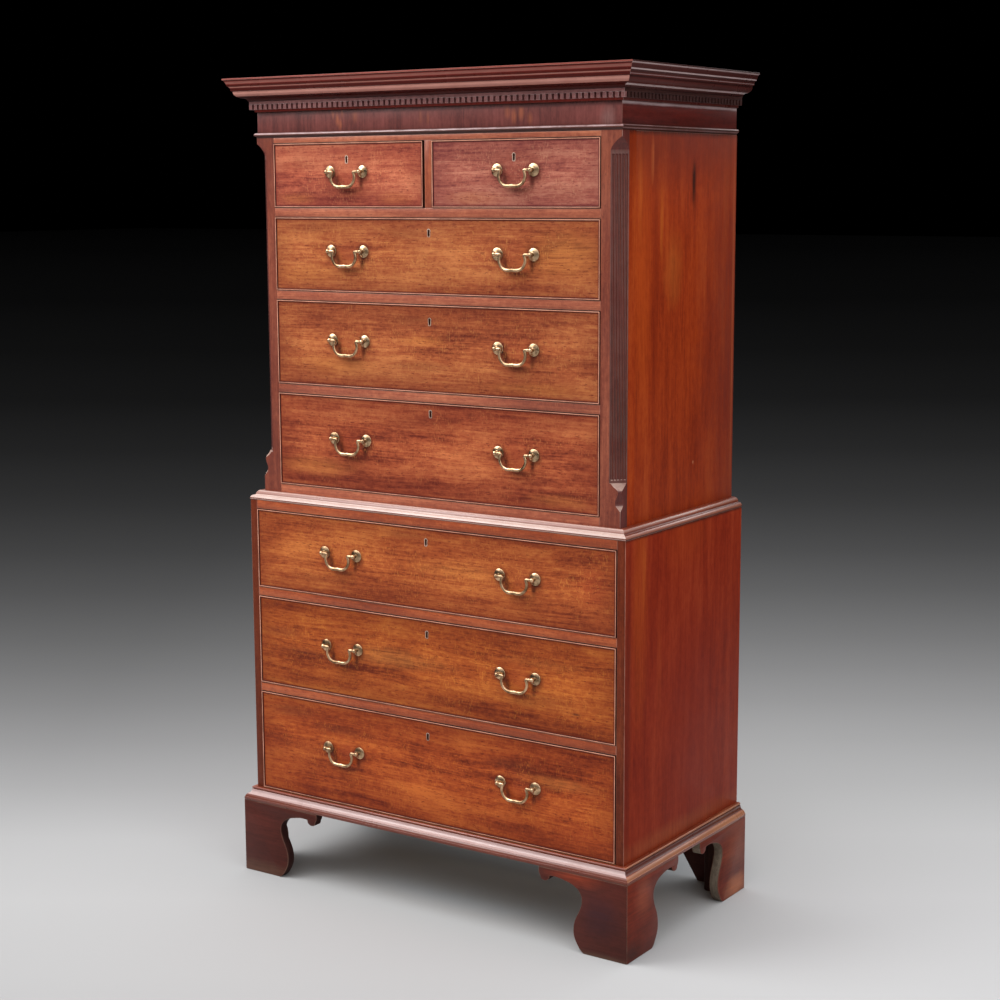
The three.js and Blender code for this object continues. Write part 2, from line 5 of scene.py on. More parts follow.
import bmesh
import bpy
from bpy.props import FloatProperty, FloatVectorProperty, IntProperty, PointerProperty
from mathutils import Matrix, Vector


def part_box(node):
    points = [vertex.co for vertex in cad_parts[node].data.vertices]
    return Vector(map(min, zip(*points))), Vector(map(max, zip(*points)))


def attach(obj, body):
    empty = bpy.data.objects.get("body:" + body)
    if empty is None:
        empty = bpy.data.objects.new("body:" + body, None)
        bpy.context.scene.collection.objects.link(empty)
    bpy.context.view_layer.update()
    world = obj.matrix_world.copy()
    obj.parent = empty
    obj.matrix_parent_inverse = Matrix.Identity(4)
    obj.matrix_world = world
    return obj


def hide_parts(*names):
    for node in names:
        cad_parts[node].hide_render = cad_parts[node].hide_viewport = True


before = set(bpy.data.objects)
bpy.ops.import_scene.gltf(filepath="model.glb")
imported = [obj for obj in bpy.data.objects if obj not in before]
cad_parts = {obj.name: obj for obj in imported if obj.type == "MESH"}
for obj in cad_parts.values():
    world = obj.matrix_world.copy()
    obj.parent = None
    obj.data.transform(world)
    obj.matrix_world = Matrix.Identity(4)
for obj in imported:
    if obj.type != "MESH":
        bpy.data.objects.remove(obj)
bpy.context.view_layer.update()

bl_info = {
    "name": "Mahogany Chest on Chest",
    "version": (1, 0, 0),
    "blender": (4, 5, 0),
    "location": "3D View > Sidebar > Chest",
    "description": "Builds the woods, mouldings, drawers and brasses of a chest on chest",
    "category": "Add Mesh",
}

MM = 0.001
NUDGE = 0.1 * MM
HANDS = (("left", -1), ("right", 1))
SIDES = (("front", 0), *HANDS)

# Places read from the frame
lower_side_low, lower_side_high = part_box("lower_side_right")
upper_side_low, upper_side_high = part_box("upper_side_right")
post_low, post_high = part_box("corner_post_right")
frieze_low, frieze_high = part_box("frieze")
cornice_low, cornice_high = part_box("cornice")
dentil_low, dentil_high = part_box("dentil_course")
base_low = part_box("base_moulding")[0]
back_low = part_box("lower_back")[0]

LOWER_FRONT = lower_side_low.y
LOWER_HALF = lower_side_high.x
LOWER_INNER = lower_side_low.x
LOWER_TOP = lower_side_high.z
UPPER_FRONT = post_low.y
UPPER_HALF = post_high.x
UPPER_INNER = UPPER_HALF - (LOWER_HALF - LOWER_INNER)
POST_INNER = post_low.x
BACK = lower_side_high.y
BACK_PANEL = back_low.y
CORNICE_REACH = 56 * MM
FRIEZE_HALF = cornice_high.x - CORNICE_REACH
FRIEZE_FRONT = cornice_low.y + CORNICE_REACH
FRIEZE_DEPTH = 18 * MM
ASTRAGAL_TOP = 11.6 * MM
GUIDE_HEIGHT = 24 * MM
GUIDE_LIFT = 0.3 * MM

FRONT_GAP = 1 * MM
DRAWERS = ("drawer_1_left", "drawer_1_right", *(f"drawer_{number}" for number in range(2, 8)))


def length(name, description, default):
    """A size in metres that a user can change."""
    return FloatProperty(
        name=name, description=description, default=default, min=0, precision=4, unit="LENGTH",
    )


def colour(name, description, default):
    """A colour that a user can change."""
    return FloatVectorProperty(
        name=name, description=description, default=default, size=3, min=0, max=1, subtype="COLOR",
    )


def watts(name, default):
    """The power of a light that a user can change."""
    return FloatProperty(
        name=f"{name} light", description=f"Power of the {name.lower()} light", default=default, min=0,
        unit="POWER",
    )


class ChestJoinery(bpy.types.PropertyGroup):
    """Sizes of the boards and of how they are joined."""

    arris: length("Arris", "How far the edges of boards are rubbed round", 1.0 * MM)
    sharp_arris: length("Fine arris", "How far the edges of small trim are rubbed round", 0.4 * MM)
    rail_depth: length("Rail depth", "Depth of a drawer rail, front to back", 60 * MM)
    dustboard: length("Dustboard", "Thickness of a dustboard", 9 * MM)
    plank_width: length("Plank width", "Least width of a plank in the backs and tops", 145 * MM)
    plank_gap: length("Plank gap", "Gap that shrinkage has left between planks", 1.2 * MM)
    front_thickness: length("Front thickness", "Thickness of a drawer front", 20 * MM)
    lap: length("Lap", "Wood of a drawer front in front of its dovetails", 6 * MM)
    cockbead_width: length("Cockbead width", "Width of the bead round a drawer front", 3 * MM)
    cockbead_relief: length("Cockbead relief", "How far the bead stands proud", 2 * MM)
    side_thickness: length("Drawer side", "Thickness of a drawer's sides and back", 11 * MM)
    bottom_thickness: length("Drawer bottom", "Thickness of a drawer's bottom", 7 * MM)
    bottom_rise: length("Bottom rise", "Height of a drawer's bottom over its lower edge", 8 * MM)
    tail_pitch: length("Dovetail pitch", "Rough distance from dovetail to dovetail", 44 * MM)
    bracket: length("Bracket", "Thickness of a foot's brackets", 23 * MM)
    block: length("Block", "Size of the block glued inside a foot", 48 * MM)
    curve_steps: IntProperty(
        name="Curve steps", description="Steps in each curved stretch of an outline", default=6, min=2,
    )


class ChestPosts(bpy.types.PropertyGroup):
    """Sizes of the canted and fluted corner posts."""

    cant_leg: length("Cant leg", "How far the cant takes the corner off, along each face", 27.5 * MM)
    square_foot: length("Square foot", "Height of the square foot under the stop", 54 * MM)
    stop_height: length("Stop height", "Height of the carved stop", 59 * MM)
    flute_margin: length("Flute margin", "Plain cant above and below the flutes", 6 * MM)
    cove_height: length("Cove height", "Height of the cove at the top of the cant", 28.5 * MM)
    square_top: length("Square top", "Height of the square top over the cove", 12.5 * MM)
    flute_pitch: length("Flute pitch", "Distance from flute to flute", 7 * MM)
    flute_radius: length("Flute radius", "Radius of a flute's hollow", 2.9 * MM)
    flute_depth: length("Flute depth", "Depth of a flute", 2.0 * MM)
    flute_count: IntProperty(name="Flutes", description="Flutes on a post", default=5, min=1)


class ChestBrasses(bpy.types.PropertyGroup):
    """Sizes of the handles, keyhole threads and locks."""

    post_spacing: length("Post spacing", "Distance between the two posts of a handle", 92 * MM)
    stand_off: length("Stand-off", "Distance from the drawer's face to the bail's axis", 13 * MM)
    rose_radius: length("Rose radius", "Radius of the round plate under a post", 14 * MM)
    head_radius: length("Head radius", "Radius of a post's round head", 5 * MM)
    pin_radius: length("Pin radius", "Radius of the bail's end pins", 1.6 * MM)
    leg_radius: length("Leg radius", "Radius of the bail's legs", 3.3 * MM)
    grip_radius: length("Grip radius", "Radius of the swell in the bail's grip", 4.1 * MM)
    keyhole_radius: length("Keyhole radius", "Radius of the keyhole's round top", 3.1 * MM)
    keyhole_slot: length("Keyhole slot", "Width of the keyhole's slot", 4.8 * MM)
    keyhole_drop: length("Keyhole drop", "From the keyhole's centre down to the end of its slot", 12 * MM)
    thread_width: length("Thread width", "Width of the brass thread round a keyhole", 1.7 * MM)
    lock_width: length("Lock width", "Width of a lock behind a drawer front", 58 * MM)
    lock_height: length("Lock height", "Height of a lock behind a drawer front", 38 * MM)


class ChestFinishes(bpy.types.PropertyGroup):
    """Colours of the woods and metals."""

    drawer_dark: colour("Drawer dark", "Dark streaks of the drawer fronts", (0.16, 0.022, 0.008))
    drawer_middle: colour("Drawer middle", "Ground colour of the drawer fronts", (0.48, 0.108, 0.026))
    drawer_light: colour("Drawer light", "Light streaks of the drawer fronts", (0.76, 0.24, 0.055))
    case_dark: colour("Case dark", "Dark streaks of the case", (0.085, 0.014, 0.008))
    case_middle: colour("Case middle", "Ground colour of the case", (0.2, 0.038, 0.016))
    case_light: colour("Case light", "Light streaks of the case", (0.35, 0.085, 0.034))
    side_dark: colour("Side dark", "Dark streaks of the case sides", (0.18, 0.017, 0.004))
    side_middle: colour("Side middle", "Ground colour of the case sides", (0.33, 0.038, 0.006))
    side_light: colour("Side light", "Light streaks of the case sides", (0.45, 0.072, 0.011))
    plum_dark: colour("Plum dark", "Dark streaks of posts, cornice and feet", (0.035, 0.009, 0.007))
    plum_middle: colour("Plum middle", "Ground colour of posts, cornice and feet", (0.11, 0.028, 0.018))
    plum_light: colour("Plum light", "Light streaks of posts, cornice and feet", (0.18, 0.046, 0.03))
    oak: colour("Oak", "Linings of oak", (0.42, 0.26, 0.13))
    pine: colour("Pine", "Backs and tops of pine", (0.36, 0.21, 0.1))
    brass: colour("Brass", "Pale brass of the handles", (0.76, 0.51, 0.3))
    iron: colour("Iron", "Locks behind the keyholes", (0.16, 0.13, 0.11))
    floor: colour("Floor", "Pale floor under the chest", (0.5, 0.5, 0.5))


class ChestStage(bpy.types.PropertyGroup):
    """The camera and the lights."""

    lens: FloatProperty(
        name="Lens", description="Focal length of the camera in millimetres", default=68.92, min=1,
        unit="CAMERA",
    )
    key: watts("Key", 150)
    fill: watts("Fill", 34)
    top: watts("Top", 110)
    rear: watts("Rear", 25)
    sky: FloatProperty(name="Sky", description="Strength of the light from all round", default=1.3, min=0)


# Outlines


def arcs(corners, steps):
    """Points of an outline of (across, up, bulge) corners. The bulge bends the stretch to the next corner:
    it is the tangent of a quarter of the turn, more than 0 where the stretch curves to the left."""
    points = []
    for (x, z, bulge), (next_x, next_z, _) in zip(corners, corners[1:] + corners[:1]):
        start = Vector((x, z))
        points.append(start)
        if bulge:
            turn = 4 * math.atan(bulge)
            chord = Vector((next_x, next_z)) - start
            leftwards = Vector((-chord.y, chord.x)) / 2
            centre = start + chord / 2 + leftwards / math.tan(turn / 2)
            for step in range(1, steps):
                points.append(centre + Matrix.Rotation(turn * step / steps, 2) @ (start - centre))
    return points


def through(corners, steps):
    """Points along a smooth curve through a run of points."""
    points = [Vector(corner) for corner in corners]
    ends = [2 * points[0] - points[1], *points, 2 * points[-1] - points[-2]]
    made = []
    for before, start, end, after in zip(ends, ends[1:], ends[2:], ends[3:]):
        for step in range(steps):
            t = step / steps
            bend = 2 * before - 5 * start + 4 * end - after
            twist = 3 * start - 3 * end + after - before
            made.append(start + (end - before) * t / 2 + bend * t * t / 2 + twist * t * t * t / 2)
    return [*made, points[-1]]


# Mesh work


def moved_verts(result):
    """The corners that an extrusion made."""
    return [item for item in result["geom"] if isinstance(item, bmesh.types.BMVert)]


def add_board(bm, first, last):
    """A board from one corner to the corner across it."""
    spans = [sorted(pair) for pair in zip(first, last)]
    low, high = (Vector(corner) for corner in zip(*spans))
    verts = bmesh.ops.create_cube(bm, size=1)["verts"]
    bmesh.ops.scale(bm, vec=high - low, verts=verts)
    bmesh.ops.translate(bm, vec=(low + high) / 2, verts=verts)
    return verts


def add_prism(bm, points, push):
    """An outline of points in space, closed with a face and pushed out. Gives back the pushed corners."""
    face = bm.faces.new([bm.verts.new(point) for point in points])
    verts = moved_verts(bmesh.ops.extrude_face_region(bm, geom=[face]))
    bmesh.ops.translate(bm, vec=push, verts=verts)
    return verts


def add_ring(bm, verts, width, depth):
    """A flat ring inside an outline of corners, pushed back along Y."""
    middle = bm.faces.new(verts)
    middle.normal_update()
    ring = bmesh.ops.inset_region(
        bm, faces=[middle], thickness=width, use_boundary=True, use_even_offset=True,
    )["faces"]
    bmesh.ops.delete(bm, geom=[middle], context="FACES")
    pushed = moved_verts(bmesh.ops.extrude_face_region(bm, geom=ring))
    bmesh.ops.translate(bm, vec=(0, depth, 0), verts=pushed)


def add_turned(bm, profile, centre, axis, steps=28):
    """A turned piece: a profile of (radius, along) points spun round an axis."""
    axis = Vector(axis)
    centre = Vector(centre)
    outwards = axis.orthogonal().normalized()
    verts = [bm.verts.new(centre + outwards * radius + axis * along) for radius, along in profile]
    edges = [bm.edges.new(pair) for pair in zip(verts, verts[1:])]
    bmesh.ops.spin(
        bm, geom=verts + edges, cent=centre, axis=axis, angle=math.tau, steps=steps, use_merge=True,
    )
    bmesh.ops.remove_doubles(bm, verts=bm.verts, dist=0.001 * MM)


def add_bar(bm, path, radii, sides):
    """A round bar along a path that keeps to one plane across Y."""
    rings = []
    sideways = Vector((0, 1, 0))
    for index, (point, radius) in enumerate(zip(path, radii)):
        ahead = path[min(index + 1, len(path) - 1)] - path[max(index - 1, 0)]
        ahead.normalize()
        turn = Matrix((sideways.cross(ahead), sideways, ahead)).transposed().to_4x4()
        ends = index in (0, len(path) - 1)
        ring = bmesh.ops.create_circle(
            bm, cap_ends=ends, radius=radius, segments=sides, matrix=Matrix.Translation(point) @ turn,
        )["verts"]
        rings.append(list(dict.fromkeys(edge for vert in ring for edge in vert.link_edges)))
    for first, second in zip(rings, rings[1:]):
        bmesh.ops.bridge_loops(bm, edges=first + second)


def soften(bm, width, segments=2, least_angle=30, keep_before=-math.inf):
    """Rubs the hard edges round, and marks the new faces as arrises for the finish to wear. Edges
    in front of a plane may be kept sharp."""
    arris = bm.faces.layers.float.get("arris") or bm.faces.layers.float.new("arris")
    bmesh.ops.recalc_face_normals(bm, faces=bm.faces)
    hard = [
        edge for edge in bm.edges
        if edge.is_manifold and edge.calc_face_angle() > math.radians(least_angle)
        and max(vert.co.y for vert in edge.verts) > keep_before
    ]
    rounded = bmesh.ops.bevel(
        bm, geom=hard, offset=width, offset_type="OFFSET", segments=segments, profile=0.5,
        affect="EDGES", clamp_overlap=True, material=-1,
    )
    for face in rounded["faces"]:
        face[arris] = 1


def finish_piece(name, bm, finish, body="carcase", stands_for=(), smooth=40):
    """Makes an object of a mesh under work, with one finish or a tuple of them. It rides on its body and may
    stand for nodes of the frame."""
    bmesh.ops.recalc_face_normals(bm, faces=bm.faces)
    for edge in bm.edges:
        edge.smooth = edge.calc_face_angle(0) < math.radians(smooth)
    for face in bm.faces:
        face.smooth = True
    mesh = bpy.data.meshes.new(name)
    bm.to_mesh(mesh)
    bm.free()
    for material in finish if isinstance(finish, tuple) else (finish,):
        mesh.materials.append(material)
    made = bpy.data.objects.new(name, mesh)
    bpy.context.scene.collection.objects.link(made)
    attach(made, body)
    if stands_for:
        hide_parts(*stands_for)
    return made


def board_piece(name, low, high, finish, slot, stands_for=(), arris=None):
    """One softened board as a piece of the carcase."""
    bm = bmesh.new()
    add_board(bm, low, high)
    soften(bm, arris or bpy.context.scene.chest_joinery.arris)
    return finish_piece(f"{name}_board", bm, finish, stands_for=stands_for)


# Nodes for the finishes


def put(tree, kind, feeds=None, **settings):
    """Adds a node. The settings are its own values, the feeds are sockets or constants for its inputs."""
    node = tree.nodes.new(kind)
    for key, value in settings.items():
        setattr(node, key, value)
    for key, value in (feeds or {}).items():
        if isinstance(value, bpy.types.NodeSocket):
            tree.links.new(value, node.inputs[key])
        else:
            node.inputs[key].default_value = value
    return node


def maths(tree, operation, first, second=0.0, clamped=False):
    """One sum of two values."""
    feeds = {0: first, 1: second}
    return put(tree, "ShaderNodeMath", feeds, operation=operation, use_clamp=clamped).outputs[0]


def vectors(tree, operation, first, second=(0, 0, 0)):
    """One sum of two vectors. A length and a dot product come out as a value."""
    sums = put(tree, "ShaderNodeVectorMath", {0: first, 1: second}, operation=operation).outputs
    return sums["Value" if operation in ("LENGTH", "DOT_PRODUCT") else "Vector"]


def spread(tree, value, low, high, out_low=0.0, out_high=1.0, smooth=False):
    """A value spread from one range to another."""
    feeds = {"Value": value, "From Min": low, "From Max": high, "To Min": out_low, "To Max": out_high}
    steps = "SMOOTHSTEP" if smooth else "LINEAR"
    return put(tree, "ShaderNodeMapRange", feeds, interpolation_type=steps).outputs["Result"]


def mix(tree, factor, first, second, blend="MIX"):
    """Two colours mixed."""
    feeds = {0: factor, 6: first, 7: second}
    return put(tree, "ShaderNodeMix", feeds, data_type="RGBA", blend_type=blend).outputs[2]


def noise(tree, vector, scale, detail=3.0, roughness=0.55, distortion=0.0):
    """A cloudy value."""
    feeds = {
        "Vector": vector, "Scale": scale, "Detail": detail, "Roughness": roughness, "Distortion": distortion,
    }
    return put(tree, "ShaderNodeTexNoise", feeds).outputs["Fac"]


def sway(tree, vector, scale, amount, detail=3.0):
    """A cloudy value on either side of 0."""
    return maths(tree, "MULTIPLY", maths(tree, "SUBTRACT", noise(tree, vector, scale, detail), 0.5), amount)


def stretched(tree, vector, scale=(1, 1, 1), place=(0, 0, 0), turn=(0, 0, 0)):
    """Coordinates stretched, turned and moved."""
    feeds = {"Vector": vector, "Scale": scale, "Location": place, "Rotation": turn}
    return put(tree, "ShaderNodeMapping", feeds).outputs[0]


def new_group(name, inputs, outputs):
    """An empty node group that is given a place on the piece and some more inputs. Gives back its tree, its
    inputs and its output node."""
    tree = bpy.data.node_groups.new(name, "ShaderNodeTree")
    for label, default in {"Vector": (0, 0, 0), **inputs}.items():
        kind = "NodeSocketVector" if isinstance(default, tuple) else "NodeSocketFloat"
        tree.interface.new_socket(name=label, in_out="INPUT", socket_type=kind).default_value = default
    for label in outputs:
        tree.interface.new_socket(name=label, in_out="OUTPUT", socket_type="NodeSocketFloat")
    return tree, put(tree, "NodeGroupInput").outputs, put(tree, "NodeGroupOutput")


def send(tree, sink, **values):
    """Joins values to the outputs of a node group."""
    for label, value in values.items():
        tree.links.new(value, sink.inputs[label])


def use_group(tree, name, feeds):
    """Places a node group, built on first use."""
    group = bpy.data.node_groups.get(name) or GROUPS[name](name)
    return put(tree, "ShaderNodeGroup", feeds, node_tree=group).outputs


# Layers of sawn wood's figure: stretch, detail, roughness, distortion, and the levels taken as 0 and 1
FIGURE_LAYERS = {
    "Clouds": ((3, 10, 10), 3.0, 0.55, 0.0, 0.3, 0.7),
    "Bands": ((2.4, 38, 38), 4.0, 0.6, 0.3, 0.28, 0.72),
    "Streaks": ((9, 250, 250), 3.0, 0.65, 0.0, 0.32, 0.68),
    "Mottle": ((60, 120, 120), 3.0, 0.7, 0.0, 0.3, 0.7),
    "Flecks": ((75, 420, 420), 2.0, 0.6, 0.0, 0.61, 0.68),
    "Glints": ((330, 120, 120), 2.0, 0.6, 0.0, 0.54, 0.68),
}


def wood_figure(name):
    """Figure of sawn wood whose grain runs along X: clouds, bands, streaks, mottle, dark flecks and
    light glints across the grain."""
    tree, given, sink = new_group(name, {"Wander": 0.012}, FIGURE_LAYERS)
    drift = sway(tree, stretched(tree, given["Vector"], (1.8, 6.0, 6.0)), 1.0, given["Wander"], detail=2.0)
    shift = put(tree, "ShaderNodeCombineXYZ", {"Y": drift, "Z": drift}).outputs[0]
    warped = vectors(tree, "ADD", given["Vector"], shift)
    figure = {}
    for label, (stretch, detail, roughness, distortion, low, high) in FIGURE_LAYERS.items():
        cloud = noise(tree, stretched(tree, warped, stretch), 1.0, detail, roughness, distortion)
        figure[label] = spread(tree, cloud, low, high)
    clusters = spread(tree, noise(tree, warped, 16.0, 2.0), 0.42, 0.62, 0.15, 1.0)
    figure["Glints"] = maths(tree, "MULTIPLY", figure["Glints"], clusters)
    send(tree, sink, **figure)
    return tree


def wear_and_painted_light(name):
    """Wear where cloths have rubbed the faces marked above 0, partly painted highlight on mouldings, beads
    and posts, and painted shade on those marked under 0.
    """
    tree, given, sink = new_group(name, {"Amount": 0.5, "Evenness": 0.35}, ("Mask", "Dirt"))
    marked = put(tree, "ShaderNodeAttribute", attribute_name="arris").outputs["Fac"]
    patchy = spread(tree, noise(tree, given["Vector"], 22.0, 4.0, 0.65), 0.35, 0.6, given["Evenness"], 1.0)
    worn = maths(tree, "MULTIPLY", marked, patchy)
    send(
        tree, sink, Mask=maths(tree, "MULTIPLY", worn, given["Amount"], clamped=True),
        Dirt=maths(tree, "MULTIPLY", marked, -1.0, clamped=True),
    )
    return tree


def hand_polish(name):
    """Cloudy wax and handling: a value for roughness, and a faint height."""
    tree, given, sink = new_group(name, {"Least": 0.3, "Most": 0.5}, ("Roughness", "Waves"))
    level = spread(tree, noise(tree, given["Vector"], 9.0, 5.0, 0.6), 0.3, 0.7)
    span = maths(tree, "SUBTRACT", given["Most"], given["Least"])
    rough = put(tree, "ShaderNodeMath", {0: level, 1: span, 2: given["Least"]}, operation="MULTIPLY_ADD")
    send(tree, sink, Roughness=rough.outputs[0], Waves=noise(tree, given["Vector"], 14.0, 1.0))
    return tree


def soft_patch(name):
    """A soft-edged patch round a centre, 1 in its middle and 0 outside its size."""
    tree, given, sink = new_group(name, {"Centre": (0, 0, 0), "Size": (1, 1, 1)}, ("Mask",))
    offset = vectors(tree, "SUBTRACT", given["Vector"], given["Centre"])
    reach = vectors(tree, "LENGTH", vectors(tree, "DIVIDE", offset, given["Size"]))
    ragged = maths(tree, "ADD", reach, sway(tree, given["Vector"], 30.0, 0.5))
    send(tree, sink, Mask=spread(tree, ragged, 1.0, 0.25))
    return tree


def painted_edge_shade(name):
    """Painted shade along the edges of a panel, close by its bead and fading over a wider band: most at its
    edge and none further in.
    """
    tree, given, sink = new_group(name, {"Centre": (0, 0, 0), "Half": (1, 1, 1)}, ("Mask",))
    away = vectors(tree, "ABSOLUTE", vectors(tree, "SUBTRACT", given["Vector"], given["Centre"]))
    left = put(tree, "ShaderNodeSeparateXYZ", {"Vector": vectors(tree, "SUBTRACT", given["Half"], away)})
    nearest = maths(tree, "MINIMUM", left.outputs["X"], left.outputs["Z"])
    ragged = maths(tree, "ADD", nearest, sway(tree, given["Vector"], 14.0, 0.06))
    wide = spread(tree, ragged, 0.0, 0.09, 0.5, 0.0)
    close = spread(tree, nearest, 0.002, 0.007, 0.8, 0.0)
    send(tree, sink, Mask=maths(tree, "ADD", wide, close, clamped=True))
    return tree


GROUPS = {
    "wood figure": wood_figure,
    "rubbed arrises": wear_and_painted_light,
    "hand polish": hand_polish,
    "soft patch": soft_patch,
    "edge polish": painted_edge_shade,
}

GRAIN_TURNS = {"X": (0, 0, 0), "Y": (0, 0, math.pi / 2), "Z": (0, math.pi / 2, 0)}


def opaque(rgb):
    """A colour with its alpha."""
    return (*rgb, 1.0)


def new_finish(name):
    """An empty material, its tree and places in the piece's own coordinates."""
    material = bpy.data.materials.new(name)
    material.use_nodes = True
    tree = material.node_tree
    tree.nodes.clear()
    return material, tree, put(tree, "ShaderNodeTexCoord").outputs["Object"]


def end_finish(tree, feeds):
    """The shader at the end of a material."""
    shader = put(tree, "ShaderNodeBsdfPrincipled", feeds)
    put(tree, "ShaderNodeOutputMaterial", {"Surface": shader.outputs[0]})


def wood(
    name, along, shades, seed=0.0, wander=0.012, contrast=1.0, flecks=0.5, glints=0.3, least=0.3, most=0.46,
    gloss=0.3, coat=0.1, coat_rough=0.24, wear=0.4, worn=None, even=0.35, bump=0.1, patches=(), panel=None,
):
    """A wood whose grain runs along one axis. The shades run from dark to light, each patch is a centre,
    a size, a colour and a strength, and a panel is the centre and the half size of its face."""
    material, tree, place = new_finish(name)
    turned = stretched(tree, place, turn=GRAIN_TURNS[along])
    grain = stretched(tree, turned, place=(seed * 1.7, seed * 3.1, seed * 2.3))
    figure = use_group(tree, "wood figure", {"Vector": grain, "Wander": wander})
    tone = maths(tree, "MULTIPLY", figure["Clouds"], 0.3)
    for label, share in (("Bands", 0.3), ("Streaks", 0.2), ("Mottle", 0.2)):
        tone = maths(tree, "ADD", tone, maths(tree, "MULTIPLY", figure[label], share))
    tone_reach = 0.36 / contrast
    dark, middle, light = (opaque(shade) for shade in shades)
    ramp = put(tree, "ShaderNodeValToRGB", {"Fac": spread(tree, tone, 0.5 - tone_reach, 0.5 + tone_reach)})
    ramp.color_ramp.elements[0].color = dark
    ramp.color_ramp.elements[1].color = light
    ramp.color_ramp.elements.new(0.5).color = middle
    base = ramp.outputs["Color"]
    for centre, size, tint, strength in patches:
        mask = use_group(tree, "soft patch", {"Vector": place, "Centre": centre, "Size": size})["Mask"]
        along_grain = spread(tree, figure["Streaks"], 0.0, 1.0, strength * 0.45, strength)
        base = mix(tree, maths(tree, "MULTIPLY", mask, along_grain), base, opaque(tint))
    golden = opaque(min(1.0, value * share) for value, share in zip(shades[2], (1.1, 1.35, 1.2)))
    base = mix(tree, maths(tree, "MULTIPLY", figure["Glints"], glints), base, golden)
    base = mix(tree, maths(tree, "MULTIPLY", figure["Flecks"], flecks), base, dark)
    # Painted shade along the face's edges, by the bead
    if panel:
        edges = {"Vector": place, "Centre": panel[0], "Half": panel[1]}
        base = mix(tree, use_group(tree, "edge polish", edges)["Mask"], base, dark)
    # Worn arrises, and on mouldings, beads and posts painted highlight from faces marked above 0 and painted
    # shade from faces marked under 0
    rubbed = use_group(tree, "rubbed arrises", {"Vector": place, "Amount": wear, "Evenness": even})
    base = mix(tree, rubbed["Dirt"], base, opaque(value * 0.5 for value in shades[0]))
    base = mix(tree, rubbed["Mask"], base, opaque(worn or shades[2]))
    polish = use_group(tree, "hand polish", {"Vector": grain, "Least": least, "Most": most})
    height = maths(tree, "SUBTRACT", maths(tree, "MULTIPLY", figure["Streaks"], 0.4), figure["Flecks"])
    height = maths(tree, "ADD", height, maths(tree, "MULTIPLY", polish["Waves"], 2.0))
    relief = put(tree, "ShaderNodeBump", {"Height": height, "Strength": bump, "Distance": 0.5 * MM})
    end_finish(tree, {
        "Base Color": base, "Roughness": polish["Roughness"], "Normal": relief.outputs[0],
        "Specular IOR Level": gloss, "Coat Weight": coat, "Coat Roughness": coat_rough,
    })
    return material


def metal(name, tint, tarnish, roughness, dirt=0.5):
    """A metal with cloudy tarnish and fine pits."""
    material, tree, place = new_finish(name)
    cloud = spread(tree, noise(tree, place, 70.0, 3.0, 0.5), 0.35, 0.68)
    base = mix(tree, maths(tree, "MULTIPLY", cloud, dirt), opaque(tint), opaque(tarnish))
    polish = use_group(tree, "hand polish", {"Vector": place, "Least": roughness, "Most": roughness + 0.18})
    pits = put(tree, "ShaderNodeBump", {
        "Height": noise(tree, place, 420.0, 2.0), "Strength": 0.12, "Distance": 0.3 * MM,
    })
    end_finish(tree, {
        "Base Color": base, "Roughness": polish["Roughness"], "Metallic": 1.0, "Normal": pits.outputs[0],
    })
    return material


def shades(kind):
    """The dark, middle and light shades of one of the mahoganies."""
    finishes = bpy.context.scene.chest_finishes
    return tuple(tuple(getattr(finishes, f"{kind}_{tone}")) for tone in ("dark", "middle", "light"))


def tinted(triple, tint):
    """Three shades each multiplied by a tint."""
    return tuple(tuple(value * share for value, share in zip(shade, tint)) for shade in triple)


def on_side(x, marks, reach=0.1):
    """Patches on a side of the chest, from marks: middle back and up, half depth, half height, colour and
    strength."""
    return tuple(
        ((x, y, z), (reach, deep, high), tint, strength) for y, z, deep, high, tint, strength in marks
    )


def on_front(y, marks):
    """Patches on a front, from marks: middle across and up, half length, half height, colour and strength."""
    return tuple(((x, y, z), (long, 1, high), tint, strength) for x, z, long, high, tint, strength in marks)


WORN_PINK = (0.6, 0.34, 0.26)
# Lilac of the astragal's worn arrises and of its painted highlight bands
LILAC_WEAR_AND_HIGHLIGHT = (0.6, 0.42, 0.42)
# Bone of the posts' worn corners and of the painted highlight on their upward curves
BONE_WEAR_AND_HIGHLIGHT = (0.66, 0.46, 0.37)


def case_wood(along, seed=0.0, tint=(1, 1, 1), **changes):
    """Red-brown mahogany of the rails and mouldings."""
    settings = {"wear": 0.4, "worn": WORN_PINK, "glints": 0.2, **changes}
    return wood(f"case mahogany {along.lower()}", along, tinted(shades("case"), tint), seed, **settings)


def plum_wood(along, seed=0.0, tint=(1, 1, 1), **changes):
    """Dark mahogany of the posts, cornice and feet."""
    settings = {"wear": 0.35, "worn": (0.34, 0.15, 0.1), "glints": 0.12, "flecks": 0.3, **changes}
    return wood(f"dark mahogany {along.lower()}", along, tinted(shades("plum"), tint), seed, **settings)


def lining_wood(kind, along, seed=0.0):
    """Dry oak or pine inside and behind."""
    rgb = getattr(bpy.context.scene.chest_finishes, kind)
    tones = tuple(tuple(value * share for value in rgb) for share in (0.45, 1.0, 1.35))
    return wood(
        f"{kind} lining {along.lower()}", along, tones, seed,
        least=0.6, most=0.85, gloss=0.2, coat=0.0, flecks=0.45, wear=0.3, bump=0.4,
    )


# Settings of the finish on smooth, well rubbed mouldings
SMOOTH = {
    "contrast": 0.5, "flecks": 0.05, "glints": 0.0, "least": 0.24, "most": 0.34, "gloss": 0.4, "bump": 0.02,
    "wear": 1.0, "even": 0.85,
}

# Mouldings: outlines run up from the foot as (out, up, bulge) in millimetres

